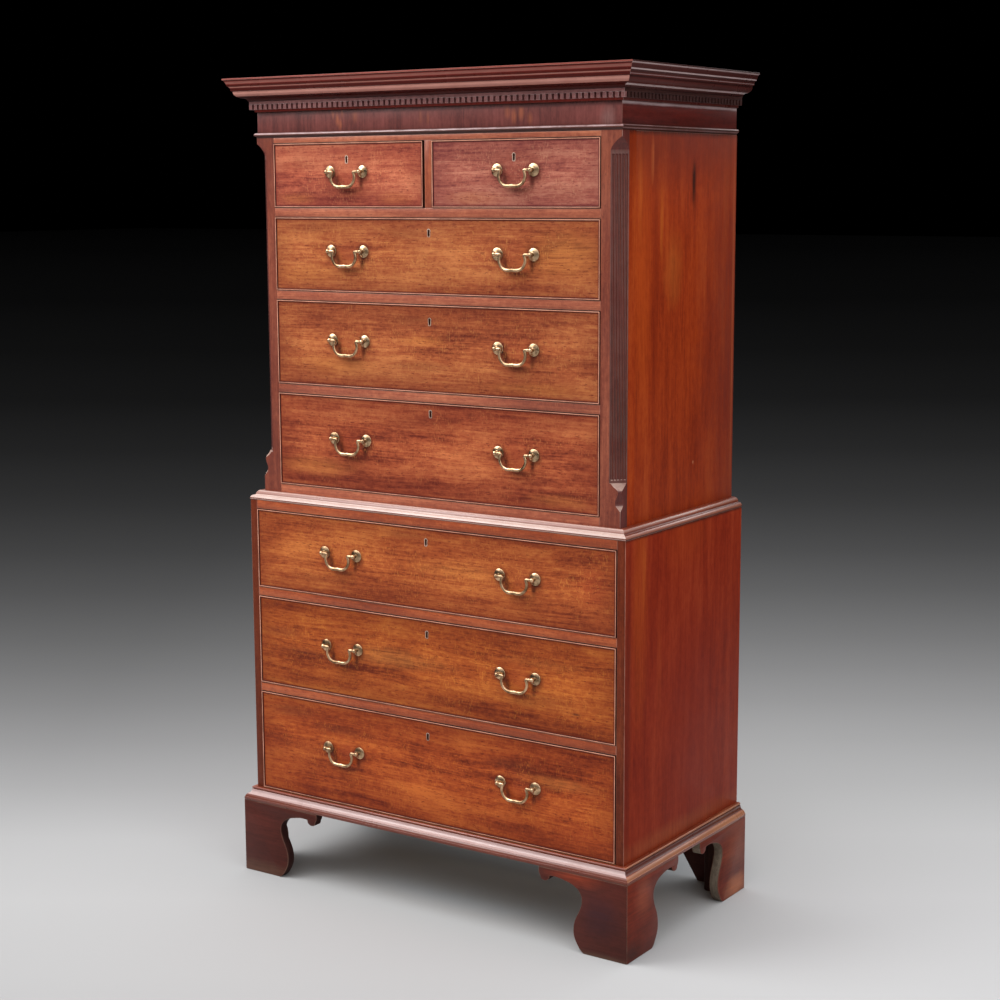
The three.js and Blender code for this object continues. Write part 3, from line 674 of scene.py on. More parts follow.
CORNICE_OUTLINE = [
    (-18, 0, 0), (3.2, 0, 0.3), (4, 0.8, 0), (4, 24, 0), (15.1, 24.2, 0), (15.3, 26.4, -0.3), (25, 31.2, 0.3),
    (38.6, 42.6, 0), (38.9, 46, 0), (42, 46.8, 0), (42.4, 49, -0.3), (47.4, 57.3, 0), (48, 57.5, 0),
    (48, 60, 0), (49, 60.4, -0.12), (54.5, 70.8, 0), (56, 71.3, 0), (56, 74.5, 0), (-18, 74.5, 0),
]
BASE_OUTLINE = [
    (0.3, 0, 0), (23, 0, 0), (23, 6.2, 0), (22, 6.6, 0.3), (14.6, 15, -0.3), (9.9, 24.4, 0), (8.1, 24.9, 0),
    (8.1, 25.5, 0.9), (6.6, 30.8, 0), (0.3, 31, 0),
]
WAIST_OUTLINE = [
    (-27, 0.3, 0), (0.4, 0.3, 0.3), (1, 0.9, 0), (1, 2.6, 0.36), (-6.5, 10.2, 0), (-7.9, 10.4, 0),
    (-8.6, 10.9, 0), (-9, 12.2, 0.36), (-18.6, 20.9, 0), (-27, 21, 0),
]
ASTRAGAL_OUTLINE = [(-18, 0, 0), (2, 0, 0), (2, 3, 0), (2.6, 3.2, 0.95), (2.6, 11.4, 0), (0, 11.6, 0)]
DENTIL_REACH = 13 * MM
DENTIL_BED = 4.3 * MM
DENTIL_WIDTH = 8.5 * MM
DENTIL_PITCH = 14.4 * MM
DENTIL_BAND = 7 * MM

# Members of the mouldings, in front and at the sides: from, to and how strong their painted highlight and
# wear, or their painted shade where under 0
CORNICE_MEMBERS = (
    (
        (24, 35.8, -0.8), (36, 39.5, 0.62), (39.5, 44.5, 0.75), (46, 52.8, -0.7), (53.2, 56.4, 0.6),
        (56.8, 61.5, -0.55), (62.5, 68.5, 0.28), (69, 71.2, -0.7), (72, 74.6, 0.12),
    ),
    (
        (24, 28, -0.6), (29, 32, 0.95), (33, 42, -0.2), (42, 48, -0.6), (48.5, 51.5, 0.3), (52, 57, -0.5),
        (57.3, 60.3, 0.7), (60.3, 68, -0.4), (68.5, 71.4, 0.65), (71.6, 74.6, -0.7),
    ),
)
BASE_MEMBERS = (
    ((0, 13.4, -0.45), (13.6, 23.5, 0.9), (24.3, 25.6, -0.3), (27, 30.5, 0.1)),
    ((0, 5, -0.2), (6.5, 14.5, 0.45), (15.5, 25.6, -0.7), (27, 30.5, 0.4)),
)
WAIST_MEMBERS = (
    ((1, 2.9, 0.6), (3, 4.7, -0.4), (4.9, 12.6, 0.85), (12.7, 17.6, 0.25), (17.7, 20.7, 0.7)),
    ((0, 2.6, -0.7), (3, 9, 0.25), (9.3, 12, -0.5), (15, 19, 0.25)),
)
ASTRAGAL_MEMBERS = (
    ((0, 5.5, -0.6), (6.8, 10.8, 0.8)),
    ((0, 3, -0.7), (3.4, 5.6, 0.3), (6.2, 8.4, -0.6), (8.8, 10.2, 0.5)),
)


def moulding_outline(corners, foot):
    """An outline at its height, in metres."""
    placed = [(out * MM, up * MM + foot, bulge) for out, up, bulge in corners]
    return arcs(placed, bpy.context.scene.chest_joinery.curve_steps)


def moulding_run(bm, outline, half, face_y, side):
    """One mitred length of a moulding: side 0 runs across the front, -1 and 1 run back along the sides."""
    corner = side or -1
    points = [(corner * (half + out), face_y - out, up) for out, up in outline]
    for vert in add_prism(bm, points, (0, 0, 0)):
        if side:
            vert.co.y = BACK
        else:
            vert.co.x = -vert.co.x


def mark_members(bm, foot, members):
    """Marks the members of a moulding, up from its foot, that get painted highlight and wear, and those that
    get painted shade.
    """
    arris = bm.faces.layers.float.get("arris")
    for face in bm.faces:
        up = (face.calc_center_median().z - foot) / MM
        for low, high, amount in members:
            if low <= up <= high:
                face[arris] = amount


def bare_hidden_faces(bm, side):
    """Gives the top, the back and the rear end of a moulding the second finish."""
    for face in bm.faces:
        inwards = face.normal.x * -side if side else face.normal.y
        hidden = face.normal.z > 0.98 or inwards > 0.9 or face.normal.y > 0.9
        face.material_index = 1 if hidden else 0


def moulding_pieces(
    name, corners, foot, half, face_y, finishes, members, node=None, inners=(1, 1),
    bare=(),
):
    """A moulding round the front and both sides, as three mitred lengths. It has finishes, members and a
    greatest reach inwards for the front and for the sides, and may have bare faces where it is hidden."""
    for label, side in SIDES:
        which = abs(side)
        bm = bmesh.new()
        outline = [Vector((max(out, -inners[which]), up)) for out, up in moulding_outline(corners, foot)]
        moulding_run(bm, outline, half, face_y, side)
        bmesh.ops.remove_doubles(bm, verts=bm.verts, dist=NUDGE / 2)
        soften(bm, 0.35 * MM, least_angle=40)
        mark_members(bm, foot, members[which])
        finish = finishes[which]
        if bare:
            bare_hidden_faces(bm, side)
            finish = (finish, bare[which])
        finish_piece(f"{name}_{label}", bm, finish, stands_for=[node or name])


# Operators


# A bracket's outline, out along the case and up, as shares of its reach and height
BRACKET_TOE = [
    (0.485, 0), (0.53, 0.05), (0.588, 0.18), (0.6, 0.3), (0.58, 0.42), (0.535, 0.54), (0.508, 0.64),
]
BRACKET_ARCH = [
    (0.508, 0.64), (0.511, 0.72), (0.543, 0.795), (0.61, 0.852), (0.7, 0.886), (0.8, 0.905), (0.872, 0.9),
]
BRACKET_LOBE = [(0.872, 0.9), (0.884, 0.855), (0.925, 0.828), (0.968, 0.842), (0.985, 0.89), (1, 0.93)]
RAKED_TOE = 115 * MM
RAKED_TOP = 228 * MM
RAKED_THICKNESS = 20 * MM
WORN_FOOT = (0.2, 0.12, 0.085)
BLEACHED = ((0.07, 0.05, 0.038), (0.17, 0.13, 0.095), (0.32, 0.25, 0.19))
# At the back of the sides, the orange patches low down are painted glow and the golden one near the top is a
# painted highlight
FOOT_SIDE_PATCHES = on_side(0.535, (
    (0.235, 0.02, 0.07, 0.035, (0.5, 0.16, 0.06), 0.9),
    (0.24, 0.11, 0.09, 0.06, (0.26, 0.07, 0.03), 0.6),
    (-0.2, 0.13, 0.045, 0.06, (0.3, 0.07, 0.03), 0.6),
    (-0.25, 0.02, 0.05, 0.03, (0.03, 0.012, 0.01), 0.8),
), reach=1) + on_side(0.53, (
    (0.235, 0.02, 0.05, 0.035, (0.5, 0.14, 0.045), 0.4),
    (0.22, 0.165, 0.08, 0.02, (0.3, 0.1, 0.04), 0.2),
))
FOOT_FRONT_PATCHES = on_front(-0.27, (
    (0.4, 0.165, 0.09, 0.022, (0.32, 0.05, 0.02), 0.7),
    (0.47, 0.09, 0.06, 0.06, (0.03, 0.014, 0.02), 0.7),
    (0.48, 0.0, 0.12, 0.014, (0.14, 0.08, 0.055), 0.7),
    (-0.48, 0.005, 0.12, 0.03, (0.19, 0.095, 0.06), 0.7),
))


class CHEST_OT_feet(bpy.types.Operator):
    """Bracket feet: two shaped and mitred brackets in front, one and a raked board behind, on a block"""

    bl_idname = "chest.feet"
    bl_label = "Feet"

    def execute(self, context):
        thick = context.scene.chest_joinery.bracket
        block = context.scene.chest_joinery.block
        plum = shades("plum")
        dull = {"gloss": 0.15, "coat": 0.0, "worn": WORN_FOOT}
        smooth = {**dull, "flecks": 0.1, "glints": 0.03, "wear": 0.5}
        rough = {**dull, "least": 0.5, "most": 0.7}
        front_finish = wood(
            "dark mahogany feet", "X", tinted(plum, (0.67, 0.61, 0.67)), 3.0, contrast=0.6,
            patches=FOOT_FRONT_PATCHES, **smooth,
        )
        side_finish = wood(
            "dark mahogany feet sides", "Y", tinted(plum, (1.3, 0.62, 0.35)), 4.0, contrast=0.7,
            patches=FOOT_SIDE_PATCHES, **smooth,
        )
        cut_finishes = {
            "front": wood("dark mahogany cut edges", "Z", tinted(plum, (0.3, 0.35, 0.45)), 2.0, **rough),
            "back": wood(
                "bleached cut edges", "Z", BLEACHED, 2.5, wear=0.3, **{**rough, "worn": (0.4, 0.3, 0.22)},
            ),
        }
        inside_finish = wood(
            "dark mahogany blocks", "Z", tinted(plum, (0.5, 0.7, 0.8)), 5.0, gloss=0.1, coat=0.0, least=0.6,
            most=0.8, wear=0.1,
        )
        for depth, inwards in (("front", 1), ("back", -1)):
            for label, side in HANDS:
                node = f"foot_{depth}_{label}"
                low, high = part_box(node)
                corner = Vector((high.x if side > 0 else low.x, low.y if depth == "front" else high.y, 0))
                outline = bracket_outline(high.z)
                across = Vector((-side, 0, 0))
                along = Vector((0, inwards, 0))
                bm = bmesh.new()
                add_bracket(bm, corner, outline, along, across * thick, thick if depth == "front" else 0)
                finish_foot(bm, f"{node}_side", "x", (side_finish, cut_finishes[depth]), node)
                bm = bmesh.new()
                if depth == "front":
                    add_bracket(bm, corner, outline, across, along * thick, thick)
                else:
                    start = thick + NUDGE
                    outline = [(start, 0), (RAKED_TOE, 0), (RAKED_TOP, high.z), (start, high.z)]
                    add_bracket(bm, corner, outline, across, along * RAKED_THICKNESS)
                finish_foot(bm, f"{node}_{depth}", "y", (front_finish, cut_finishes[depth]), node)
                bm = bmesh.new()
                inner = corner + (across + along) * (thick + NUDGE)
                outer = inner + (across + along) * block + Vector((0, 0, high.z))
                add_board(bm, inner, outer)
                soften(bm, 4 * MM, segments=1)
                finish_piece(f"{node}_block", bm, inside_finish, stands_for=[node])
        return {"FINISHED"}


def bracket_outline(top):
    """The shaped outline of a bracket, out along the case from its corner and up."""
    low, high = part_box("foot_front_right")
    span = high.x - low.x
    curve = [*through(BRACKET_TOE, 4)[:-1], *through(BRACKET_ARCH, 4)[:-1], *through(BRACKET_LOBE, 4)]
    return [(0, 0), *((out * span, up * top) for out, up in curve), (span, top), (0, top)]


def add_bracket(bm, corner, outline, along, push, mitre=0):
    """A board with an outline out along the case and up, pushed inwards, and mitred at the corner."""
    points = [corner + along * out + Vector((0, 0, up)) for out, up in outline]
    for vert in add_prism(bm, points, push):
        if abs((vert.co - corner).dot(along)) < NUDGE:
            vert.co += along * mitre


def finish_foot(bm, name, push, finishes, node):
    """Softens a bracket and gives its cut edges the second finish, all but those at the chest's back."""
    soften(bm, bpy.context.scene.chest_joinery.arris * 1.6, least_angle=35)
    for face in bm.faces:
        cut = abs(getattr(face.normal, push)) < 0.3 and face.normal.z < 0.98
        face.material_index = 1 if cut and face.calc_center_median().y < BACK - MM else 0
    finish_piece(name, bm, finishes, stands_for=[node])


# Darker towards the front corner, and a painted golden highlight at the back
BASE_SIDE_PATCHES = on_side(0.53, (
    (-0.17, 0.19, 0.14, 0.05, (0.13, 0.022, 0.014), 0.45),
    (0.2, 0.19, 0.1, 0.05, (0.5, 0.2, 0.08), 0.35),
))


class CHEST_OT_base_moulding(bpy.types.Operator):
    """Base moulding mitred round the bottom of the lower case"""

    bl_idname = "chest.base_moulding"
    bl_label = "Base Moulding"

    def execute(self, context):
        finishes = (
            case_wood("X", 6.0, worn=(0.5, 0.36, 0.34), coat=0.3, coat_rough=0.2, **SMOOTH),
            case_wood(
                "Y", 7.0, worn=(0.5, 0.24, 0.12), coat=0.15, coat_rough=0.22,
                patches=BASE_SIDE_PATCHES, **SMOOTH,
            ),
        )
        moulding_pieces(
            "base_moulding", BASE_OUTLINE, base_low.z, LOWER_HALF, LOWER_FRONT, finishes, BASE_MEMBERS,
        )
        return {"FINISHED"}


class CHEST_OT_waist_moulding(bpy.types.Operator):
    """Waist moulding mitred round the step between the two cases"""

    bl_idname = "chest.waist_moulding"
    bl_label = "Waist Moulding"

    def execute(self, context):
        finishes = (
            case_wood("X", 8.0, worn=(0.64, 0.48, 0.42), coat=0.3, coat_rough=0.2, **SMOOTH),
            case_wood("Y", 9.0, worn=(0.5, 0.26, 0.18), coat=0.4, coat_rough=0.22, **SMOOTH),
        )
        inners = UPPER_FRONT - LOWER_FRONT - NUDGE * 3, LOWER_HALF - UPPER_HALF - NUDGE * 3
        moulding_pieces(
            "waist_moulding", WAIST_OUTLINE, LOWER_TOP, LOWER_HALF, LOWER_FRONT, finishes, WAIST_MEMBERS,
            inners=inners,
        )
        return {"FINISHED"}


def rail_pieces(node, face_y, half, rear_half, finish, oak):
    """A drawer rail, and the dustboard behind it."""
    joinery = bpy.context.scene.chest_joinery
    low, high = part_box(node)
    board_piece(
        node, (-half, face_y, low.z), (half, face_y + joinery.rail_depth, high.z), finish, "case_mahogany",
        stands_for=[node],
    )
    dust_low = (-rear_half, face_y + joinery.rail_depth + NUDGE, high.z - joinery.dustboard)
    board_piece(
        f"{node}_dustboard", dust_low, (rear_half, high.y, high.z), oak, "oak_lining", stands_for=[node],
        arris=joinery.sharp_arris,
    )


def plank_piece(node, across, finish, seed):
    """Planks side by side with the gaps that shrinkage left, in place of a board of the frame."""
    joinery = bpy.context.scene.chest_joinery
    low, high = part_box(node)
    span = high[across] - low[across]
    count = max(2, round(span / joinery.plank_width))
    edges = [low[across] + span * plank_edge(index, count, seed) for index in range(count + 1)]
    bm = bmesh.new()
    for start, end in zip(edges, edges[1:]):
        first = low.copy()
        last = high.copy()
        first[across] = start + joinery.plank_gap / 2
        last[across] = end - joinery.plank_gap / 2
        add_board(bm, first, last)
    soften(bm, joinery.sharp_arris * 2)
    return finish_piece(f"{node}_planks", bm, finish, stands_for=[node])


def plank_edge(index, count, seed):
    """Share of the span at which a joint between planks lies, uneven but the same each time."""
    if index in (0, count):
        return index / count
    return (index + 0.28 * math.sin(seed + 2.4 * index)) / count


# Patches on the sides and on the left stile, with painted shade and painted shadow where noted
# Painted shade down the left stile
STILE_SHADE = (((-0.505, -0.246, 0.55), (0.06, 0.1, 0.8), (0.09, 0.016, 0.007), 0.6),)
LOWER_SIDE_PATCHES = on_side(0.512, (
    (-0.02, 0.225, 0.5, 0.03, (0.36, 0.11, 0.04), 0.4),
    # Painted shade along the front edge of the side
    (-0.235, 0.55, 0.018, 0.5, (0.07, 0.01, 0.008), 0.75),
    (-0.185, 0.8, 0.04, 0.4, (0.4, 0.075, 0.012), 0.45),
    (-0.17, 0.83, 0.012, 0.08, (0.5, 0.12, 0.02), 0.35),
    (-0.1, 0.62, 0.014, 0.16, (0.34, 0.06, 0.014), 0.3),
    (0.02, 0.88, 0.14, 0.09, (0.34, 0.05, 0.01), 0.4),
    (0.05, 0.45, 0.16, 0.3, (0.17, 0.014, 0.008), 0.4),
    # Painted shadow under the waist moulding
    (0.0, 0.911, 0.9, 0.008, (0.05, 0.014, 0.01), 1.2),
))
UPPER_SIDE_PATCHES = on_side(0.486, (
    (0.3, 1.3, 0.22, 0.8, (0.15, 0.027, 0.02), 0.85),
    (-0.083, 1.5, 0.02, 0.5, (0.2, 0.02, 0.006), 0.5),
    (-0.01, 1.46, 0.05, 0.1, (0.6, 0.17, 0.03), 0.35),
    (-0.14, 1.5, 0.045, 0.5, (0.55, 0.09, 0.012), 0.45),
    # Painted shade along the top, under the astragal
    (0.0, 1.74, 0.9, 0.13, (0.15, 0.016, 0.006), 0.8),
    (-0.15, 1.62, 0.012, 0.13, (0.55, 0.13, 0.02), 0.4),
    (-0.1, 1.69, 0.008, 0.06, (0.6, 0.16, 0.04), 0.6),
    (-0.06, 1.56, 0.008, 0.1, (0.6, 0.16, 0.02), 0.5),
    (0.08, 1.637, 0.012, 0.065, (0.02, 0.004, 0.003), 1.2),
    (0.269, 1.4, 0.006, 0.6, (0.5, 0.13, 0.05), 0.5),
    (0.09, 1.033, 0.004, 0.006, (0.7, 0.3, 0.15), 0.8),
    # Painted shadow right under the astragal
    (0.02, 1.75, 0.9, 0.014, (0.05, 0.012, 0.008), 1.2),
))


class CHEST_OT_lower_case(bpy.types.Operator):
    """Lower case: sides, rails with dustboards, top, bottom and planked back"""

    bl_idname = "chest.lower_case"
    bl_label = "Lower Case"

    def execute(self, context):
        side_finish = side_wood("lower", (0.7, 0.61, 1.34), 11.0, LOWER_SIDE_PATCHES)
        rail_finish = case_wood("X", 12.0, tint=(1.65, 1.7, 1.35))
        oak = lining_wood("oak", "X", 13.0)
        pine = lining_wood("pine", "Z", 14.0)
        stile_finish = case_wood(
            "Z", 10.0, tint=(0.7, 0.64, 0.55), gloss=0.15, coat=0.0, patches=STILE_SHADE,
        )
        for label, _ in HANDS:
            node = f"lower_side_{label}"
            bm = bmesh.new()
            add_board(bm, *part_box(node))
            soften(bm, context.scene.chest_joinery.arris)
            for face in bm.faces:
                face.material_index = 1 if face.normal.y < -0.5 else 0
            finishes = side_finish, stile_finish
            finish_piece(f"{node}_board", bm, finishes, stands_for=[node])
        board_piece(
            "lower_top_rail", *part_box("lower_top_rail"), rail_finish, "case_mahogany",
            stands_for=["lower_top_rail"],
        )
        half = LOWER_INNER - NUDGE
        for number in (1, 2):
            rail_pieces(f"lower_rail_{number}", LOWER_FRONT, half, half, rail_finish, oak)
        for node in ("lower_top_board", "lower_bottom_board"):
            plank_piece(node, 1, oak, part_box(node)[0].z)
        plank_piece("lower_back", 0, pine, 1.0)
        return {"FINISHED"}


class CHEST_OT_upper_case(bpy.types.Operator):
    """Upper case: sides with drawer guides, rails, muntin, boards and planked back"""

    bl_idname = "chest.upper_case"
    bl_label = "Upper Case"

    def execute(self, context):
        joinery = context.scene.chest_joinery
        side_finish = upper_side_wood()
        low, high = upper_side_low, upper_side_high
        rail_finish = case_wood("X", 16.0, tint=(1.75, 2.4, 3.0))
        upright_finish = case_wood("Z", 17.0, tint=(1.5, 1.7, 1.8))
        oak = lining_wood("oak", "X", 18.0)
        guide_oak = lining_wood("oak", "Y", 19.0)
        pine = lining_wood("pine", "Z", 20.0)
        pine_top = lining_wood("pine", "X", 21.0)
        openings = [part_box(node)[1].z for node in ("upper_rail_1", "upper_rail_2", "upper_rail_3")]
        openings.append(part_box("upper_bottom_rail")[1].z)
        for label, side in HANDS:
            node = f"upper_side_{label}"
            bm = bmesh.new()
            add_board(bm, (side * UPPER_INNER, low.y, low.z), (side * UPPER_HALF, high.y, high.z))
            soften(bm, joinery.arris, keep_before=low.y + NUDGE)
            finish_piece(f"{node}_board", bm, side_finish, stands_for=[node])
            bm = bmesh.new()
            inner, outer = side * (POST_INNER + FRONT_GAP), side * (UPPER_INNER - NUDGE)
            for z in openings:
                add_board(bm, (inner, low.y, z + GUIDE_LIFT), (outer, BACK_PANEL - NUDGE, z + GUIDE_HEIGHT))
            soften(bm, joinery.sharp_arris)
            finish_piece(f"{node}_guides", bm, guide_oak, stands_for=[node])
        for node in ("upper_bottom_rail", "upper_top_rail"):
            board_piece(node, *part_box(node), rail_finish, "case_mahogany", stands_for=[node])
        half = POST_INNER - NUDGE
        for number in (1, 2, 3):
            rail_pieces(f"upper_rail_{number}", UPPER_FRONT, half, UPPER_INNER - NUDGE, rail_finish, oak)
        low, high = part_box("muntin")
        board_piece(
            "muntin", low, (high.x, low.y + joinery.rail_depth, high.z), upright_finish, "case_mahogany",
            stands_for=["muntin"],
        )
        board_piece(
            "muntin_guide", (low.x, low.y + joinery.rail_depth + NUDGE, low.z),
            (high.x, high.y, low.z + GUIDE_HEIGHT), guide_oak, "oak_lining", stands_for=["muntin"],
            arris=joinery.sharp_arris,
        )
        plank_piece("upper_bottom_board", 1, oak, 2.0)
        plank_piece("upper_top_board", 1, pine_top, 3.0)
        plank_piece("upper_back", 0, pine, 4.0)
        return {"FINISHED"}


def side_wood(case, tint, seed, patches, **changes):
    """The orange-red wood of the sides of one of the cases."""
    settings = {
        "wander": 0.02, "contrast": 1.0, "flecks": 0.15, "glints": 0.03, "least": 0.34, "most": 0.46,
        "gloss": 0.04, "coat": 0.0, "wear": 0.4, "worn": WORN_PINK, **changes,
    }
    name = f"case mahogany {case} sides"
    return wood(name, "Z", tinted(shades("side"), tint), seed, patches=patches, **settings)


def upper_side_wood():
    """The wood of the upper sides, which the posts' outer faces share."""
    return bpy.data.materials.get("case mahogany upper sides") or side_wood(
        "upper", (1.0, 1.02, 1.3), 15.5, UPPER_SIDE_PATCHES, wander=0.024, contrast=1.1, flecks=0.12,
        wear=0.3,
    )


POST_ARRIS = 0.7 * MM

# Depth of the cove over the flutes as a share of the whole cut, going up
COVE_CURVE = [
    (0, 1), (0.15, 0.96), (0.36, 0.82), (0.55, 0.64), (0.7, 0.48), (0.85, 0.27), (0.95, 0.1), (1, 0),
]

# Depth of the carved stop as a share of the whole cut, from its tip up
STOP_CURVE = [
    (0, 0), (0.1, 0.2), (0.22, 0.42), (0.36, 0.46), (0.5, 0.34), (0.66, 0.22), (0.78, 0.3), (0.88, 0.6),
    (1, 0.84),
]


class CHEST_OT_corner_posts(bpy.types.Operator):
    """Corner posts: canted, with stopped flutes between a carved foot and a cove"""

    bl_idname = "chest.corner_posts"
    bl_label = "Corner Posts"

    def execute(self, context):
        finishes = (
            plum_wood("Z", 22.0, tint=(0.95, 0.7, 0.8), wear=1.0, worn=BONE_WEAR_AND_HIGHLIGHT),
            case_wood("Z", 23.0, tint=(1.0, 1.15, 1.5)), upper_side_wood(),
        )
        for label, side in HANDS:
            bm = bmesh.new()
            add_corner_post(bm, context.scene.chest_posts)
            if side < 0:
                bmesh.ops.scale(bm, vec=(-1, 1, 1), verts=bm.verts)
            node = f"corner_post_{label}"
            finish_piece(f"{node}_carved", bm, finishes, stands_for=[node], smooth=30)
        return {"FINISHED"}


def post_levels(posts):
    """Heights up a post as (height, depth of the cut, how far past the end of the flutes' straight part)."""
    full = posts.cant_leg / math.sqrt(2)
    none = POST_ARRIS
    stop_foot = post_low.z + posts.square_foot
    stop_top = stop_foot + posts.stop_height
    cove_foot = post_high.z - posts.square_top - posts.cove_height
    radius = posts.flute_radius
    levels = [(post_low.z, none, radius), (stop_foot, none, radius)]
    for up, deep in through(STOP_CURVE, 4)[1:]:
        levels.append((stop_foot + up * posts.stop_height, max(none, deep * full), radius))
    levels.append((stop_top + 0.4 * MM, full, radius))
    low_end = stop_top + posts.flute_margin
    high_end = cove_foot - posts.flute_margin
    turns = [step / 6 * math.pi / 2 for step in range(7)]
    for turn in turns:
        rise = math.sin(turn)
        levels.append((low_end + radius * rise, full, radius * (1 - rise)))
    for turn in turns:
        rise = 1 - math.cos(turn)
        levels.append((high_end - radius * (1 - rise), full, radius * rise))
    for up, deep in through(COVE_CURVE, 4):
        levels.append((cove_foot + up * posts.cove_height, max(none, deep * full), radius))
    levels.append((post_high.z, none, radius))
    return levels


def flute_hollow(posts, across, past):
    """Depth of the flutes at a place across the cant, and past the straight part of a flute."""
    first = -(posts.flute_count - 1) / 2 * posts.flute_pitch
    nearest = round((across - first) / posts.flute_pitch)
    nearest = min(max(nearest, 0), posts.flute_count - 1)
    off = across - first - nearest * posts.flute_pitch
    square = posts.flute_radius ** 2 - off ** 2 - past ** 2
    return max(0, math.sqrt(max(0, square)) - posts.flute_radius + posts.flute_depth)


def cant_places(posts):
    """Places across the whole cant, close together in the flutes."""
    full = posts.cant_leg / math.sqrt(2)
    rim = math.sqrt(posts.flute_radius ** 2 - (posts.flute_radius - posts.flute_depth) ** 2)
    places = [-full]
    for flute in range(posts.flute_count):
        centre = (flute - (posts.flute_count - 1) / 2) * posts.flute_pitch
        places += [centre - rim * math.cos(step / 8 * math.pi) for step in range(9)]
    return [*places, full]


def add_corner_post(bm, posts):
    """The right-hand post: its plan, carried up level by level."""
    across_layer = bm.verts.layers.float.new("across")
    cant_layer = bm.verts.layers.int.new("cant")
    depth_layer = bm.verts.layers.float.new("depth")
    arris_layer = bm.faces.layers.float.new("arris")
    full = posts.cant_leg / math.sqrt(2)
    corner = Vector((post_high.x, post_low.y, 0))
    inwards = Vector((-1, 1, 0)).normalized()
    along = Vector((1, 1, 0)).normalized()

    def carve(vert, z, deep, past):
        vert.co.z = z
        vert[depth_layer] = deep
        if vert[cant_layer]:
            across = vert[across_layer]
            hollow = flute_hollow(posts, across, past)
            place = corner + inwards * (deep + hollow) + along * (across * deep / full)
            vert.co.xy = place.xy

    levels = post_levels(posts)
    plan = []
    for place in cant_places(posts):
        vert = bm.verts.new(corner)
        vert[across_layer] = place
        vert[cant_layer] = 1
        plan.append(vert)
    behind = post_low.y + posts.cant_leg + NUDGE
    outer, inner = post_high.x, post_low.x
    for x, y in ((outer, behind), (outer, post_high.y), (inner, post_high.y), (inner, post_low.y)):
        plan.append(bm.verts.new((x, y, 0)))
    for vert in plan:
        carve(vert, *levels[0])
    face = bm.faces.new(plan)
    for level, (z, deep, past) in enumerate(levels[1:]):
        made = bmesh.ops.extrude_face_region(bm, geom=[face])
        if level:
            bmesh.ops.delete(bm, geom=[face], context="FACES_ONLY")
        for vert in moved_verts(made):
            carve(vert, z, deep, past)
        face = next(item for item in made["geom"] if isinstance(item, bmesh.types.BMFace))
    bmesh.ops.recalc_face_normals(bm, faces=bm.faces)
    # Two finishes for the outer faces, how rubbed the corners and the ridges are, and a painted highlight on
    # the upward curves
    for side_face in bm.faces:
        depths = [vert[depth_layer] for vert in side_face.verts]
        if side_face.normal.y < -0.99:
            side_face.material_index = 1
        elif side_face.normal.x > 0.99 and side_face.calc_center_median().y > behind:
            side_face.material_index = 2
        elif max(depths) < 2 * POST_ARRIS and side_face.normal.x < 0.99:
            side_face[arris_layer] = 0.4
        elif side_face.normal.z > 0.3:
            side_face[arris_layer] = min(0.5, 0.9 * side_face.normal.z)
        elif min(depths) > 0.98 * full and side_face.normal.dot(-inwards) > 0.97:
            side_face[arris_layer] = 0.1


# Flames of the frieze's veneer: middle across, height, half length, half height and strength
FRIEZE_FLAMES = (
    (-0.262, 1.8, 0.006, 0.018, 0.7), (-0.25, 1.785, 0.007, 0.02, 0.8), (-0.236, 1.8, 0.005, 0.016, 0.7),
    (-0.242, 1.772, 0.007, 0.016, 0.7), (-0.2, 1.79, 0.01, 0.018, 0.5), (0.205, 1.79, 0.009, 0.02, 0.6),
    (0.222, 1.78, 0.008, 0.022, 0.8), (0.24, 1.787, 0.01, 0.02, 0.7), (0.262, 1.773, 0.009, 0.018, 0.6),
    (-0.02, 1.785, 0.006, 0.022, 0.4), (0.0, 1.78, 0.005, 0.02, 0.4),
)
# The flames with a painted pale reflection, a painted shadow line at the top of the front, and a painted
# highlight line at the top of the sides
FRIEZE_PATCHES = on_front(-0.222, (
    *((*place, (0.42, 0.12, 0.055), strength) for *place, strength in FRIEZE_FLAMES),
    # Painted pale reflection
    (0.45, 1.77, 0.022, 0.035, (0.34, 0.2, 0.18), 0.5),
    # Painted shadow line under the dentils
    (0, 1.8035, 2, 0.009, (0.04, 0.012, 0.012), 1.0),
))
# Painted highlight line along the top of the sides
FRIEZE_SIDE_HIGHLIGHT = (((0, 0, 1.8025), (3, 3, 0.005), (0.42, 0.3, 0.3), 1.3),)


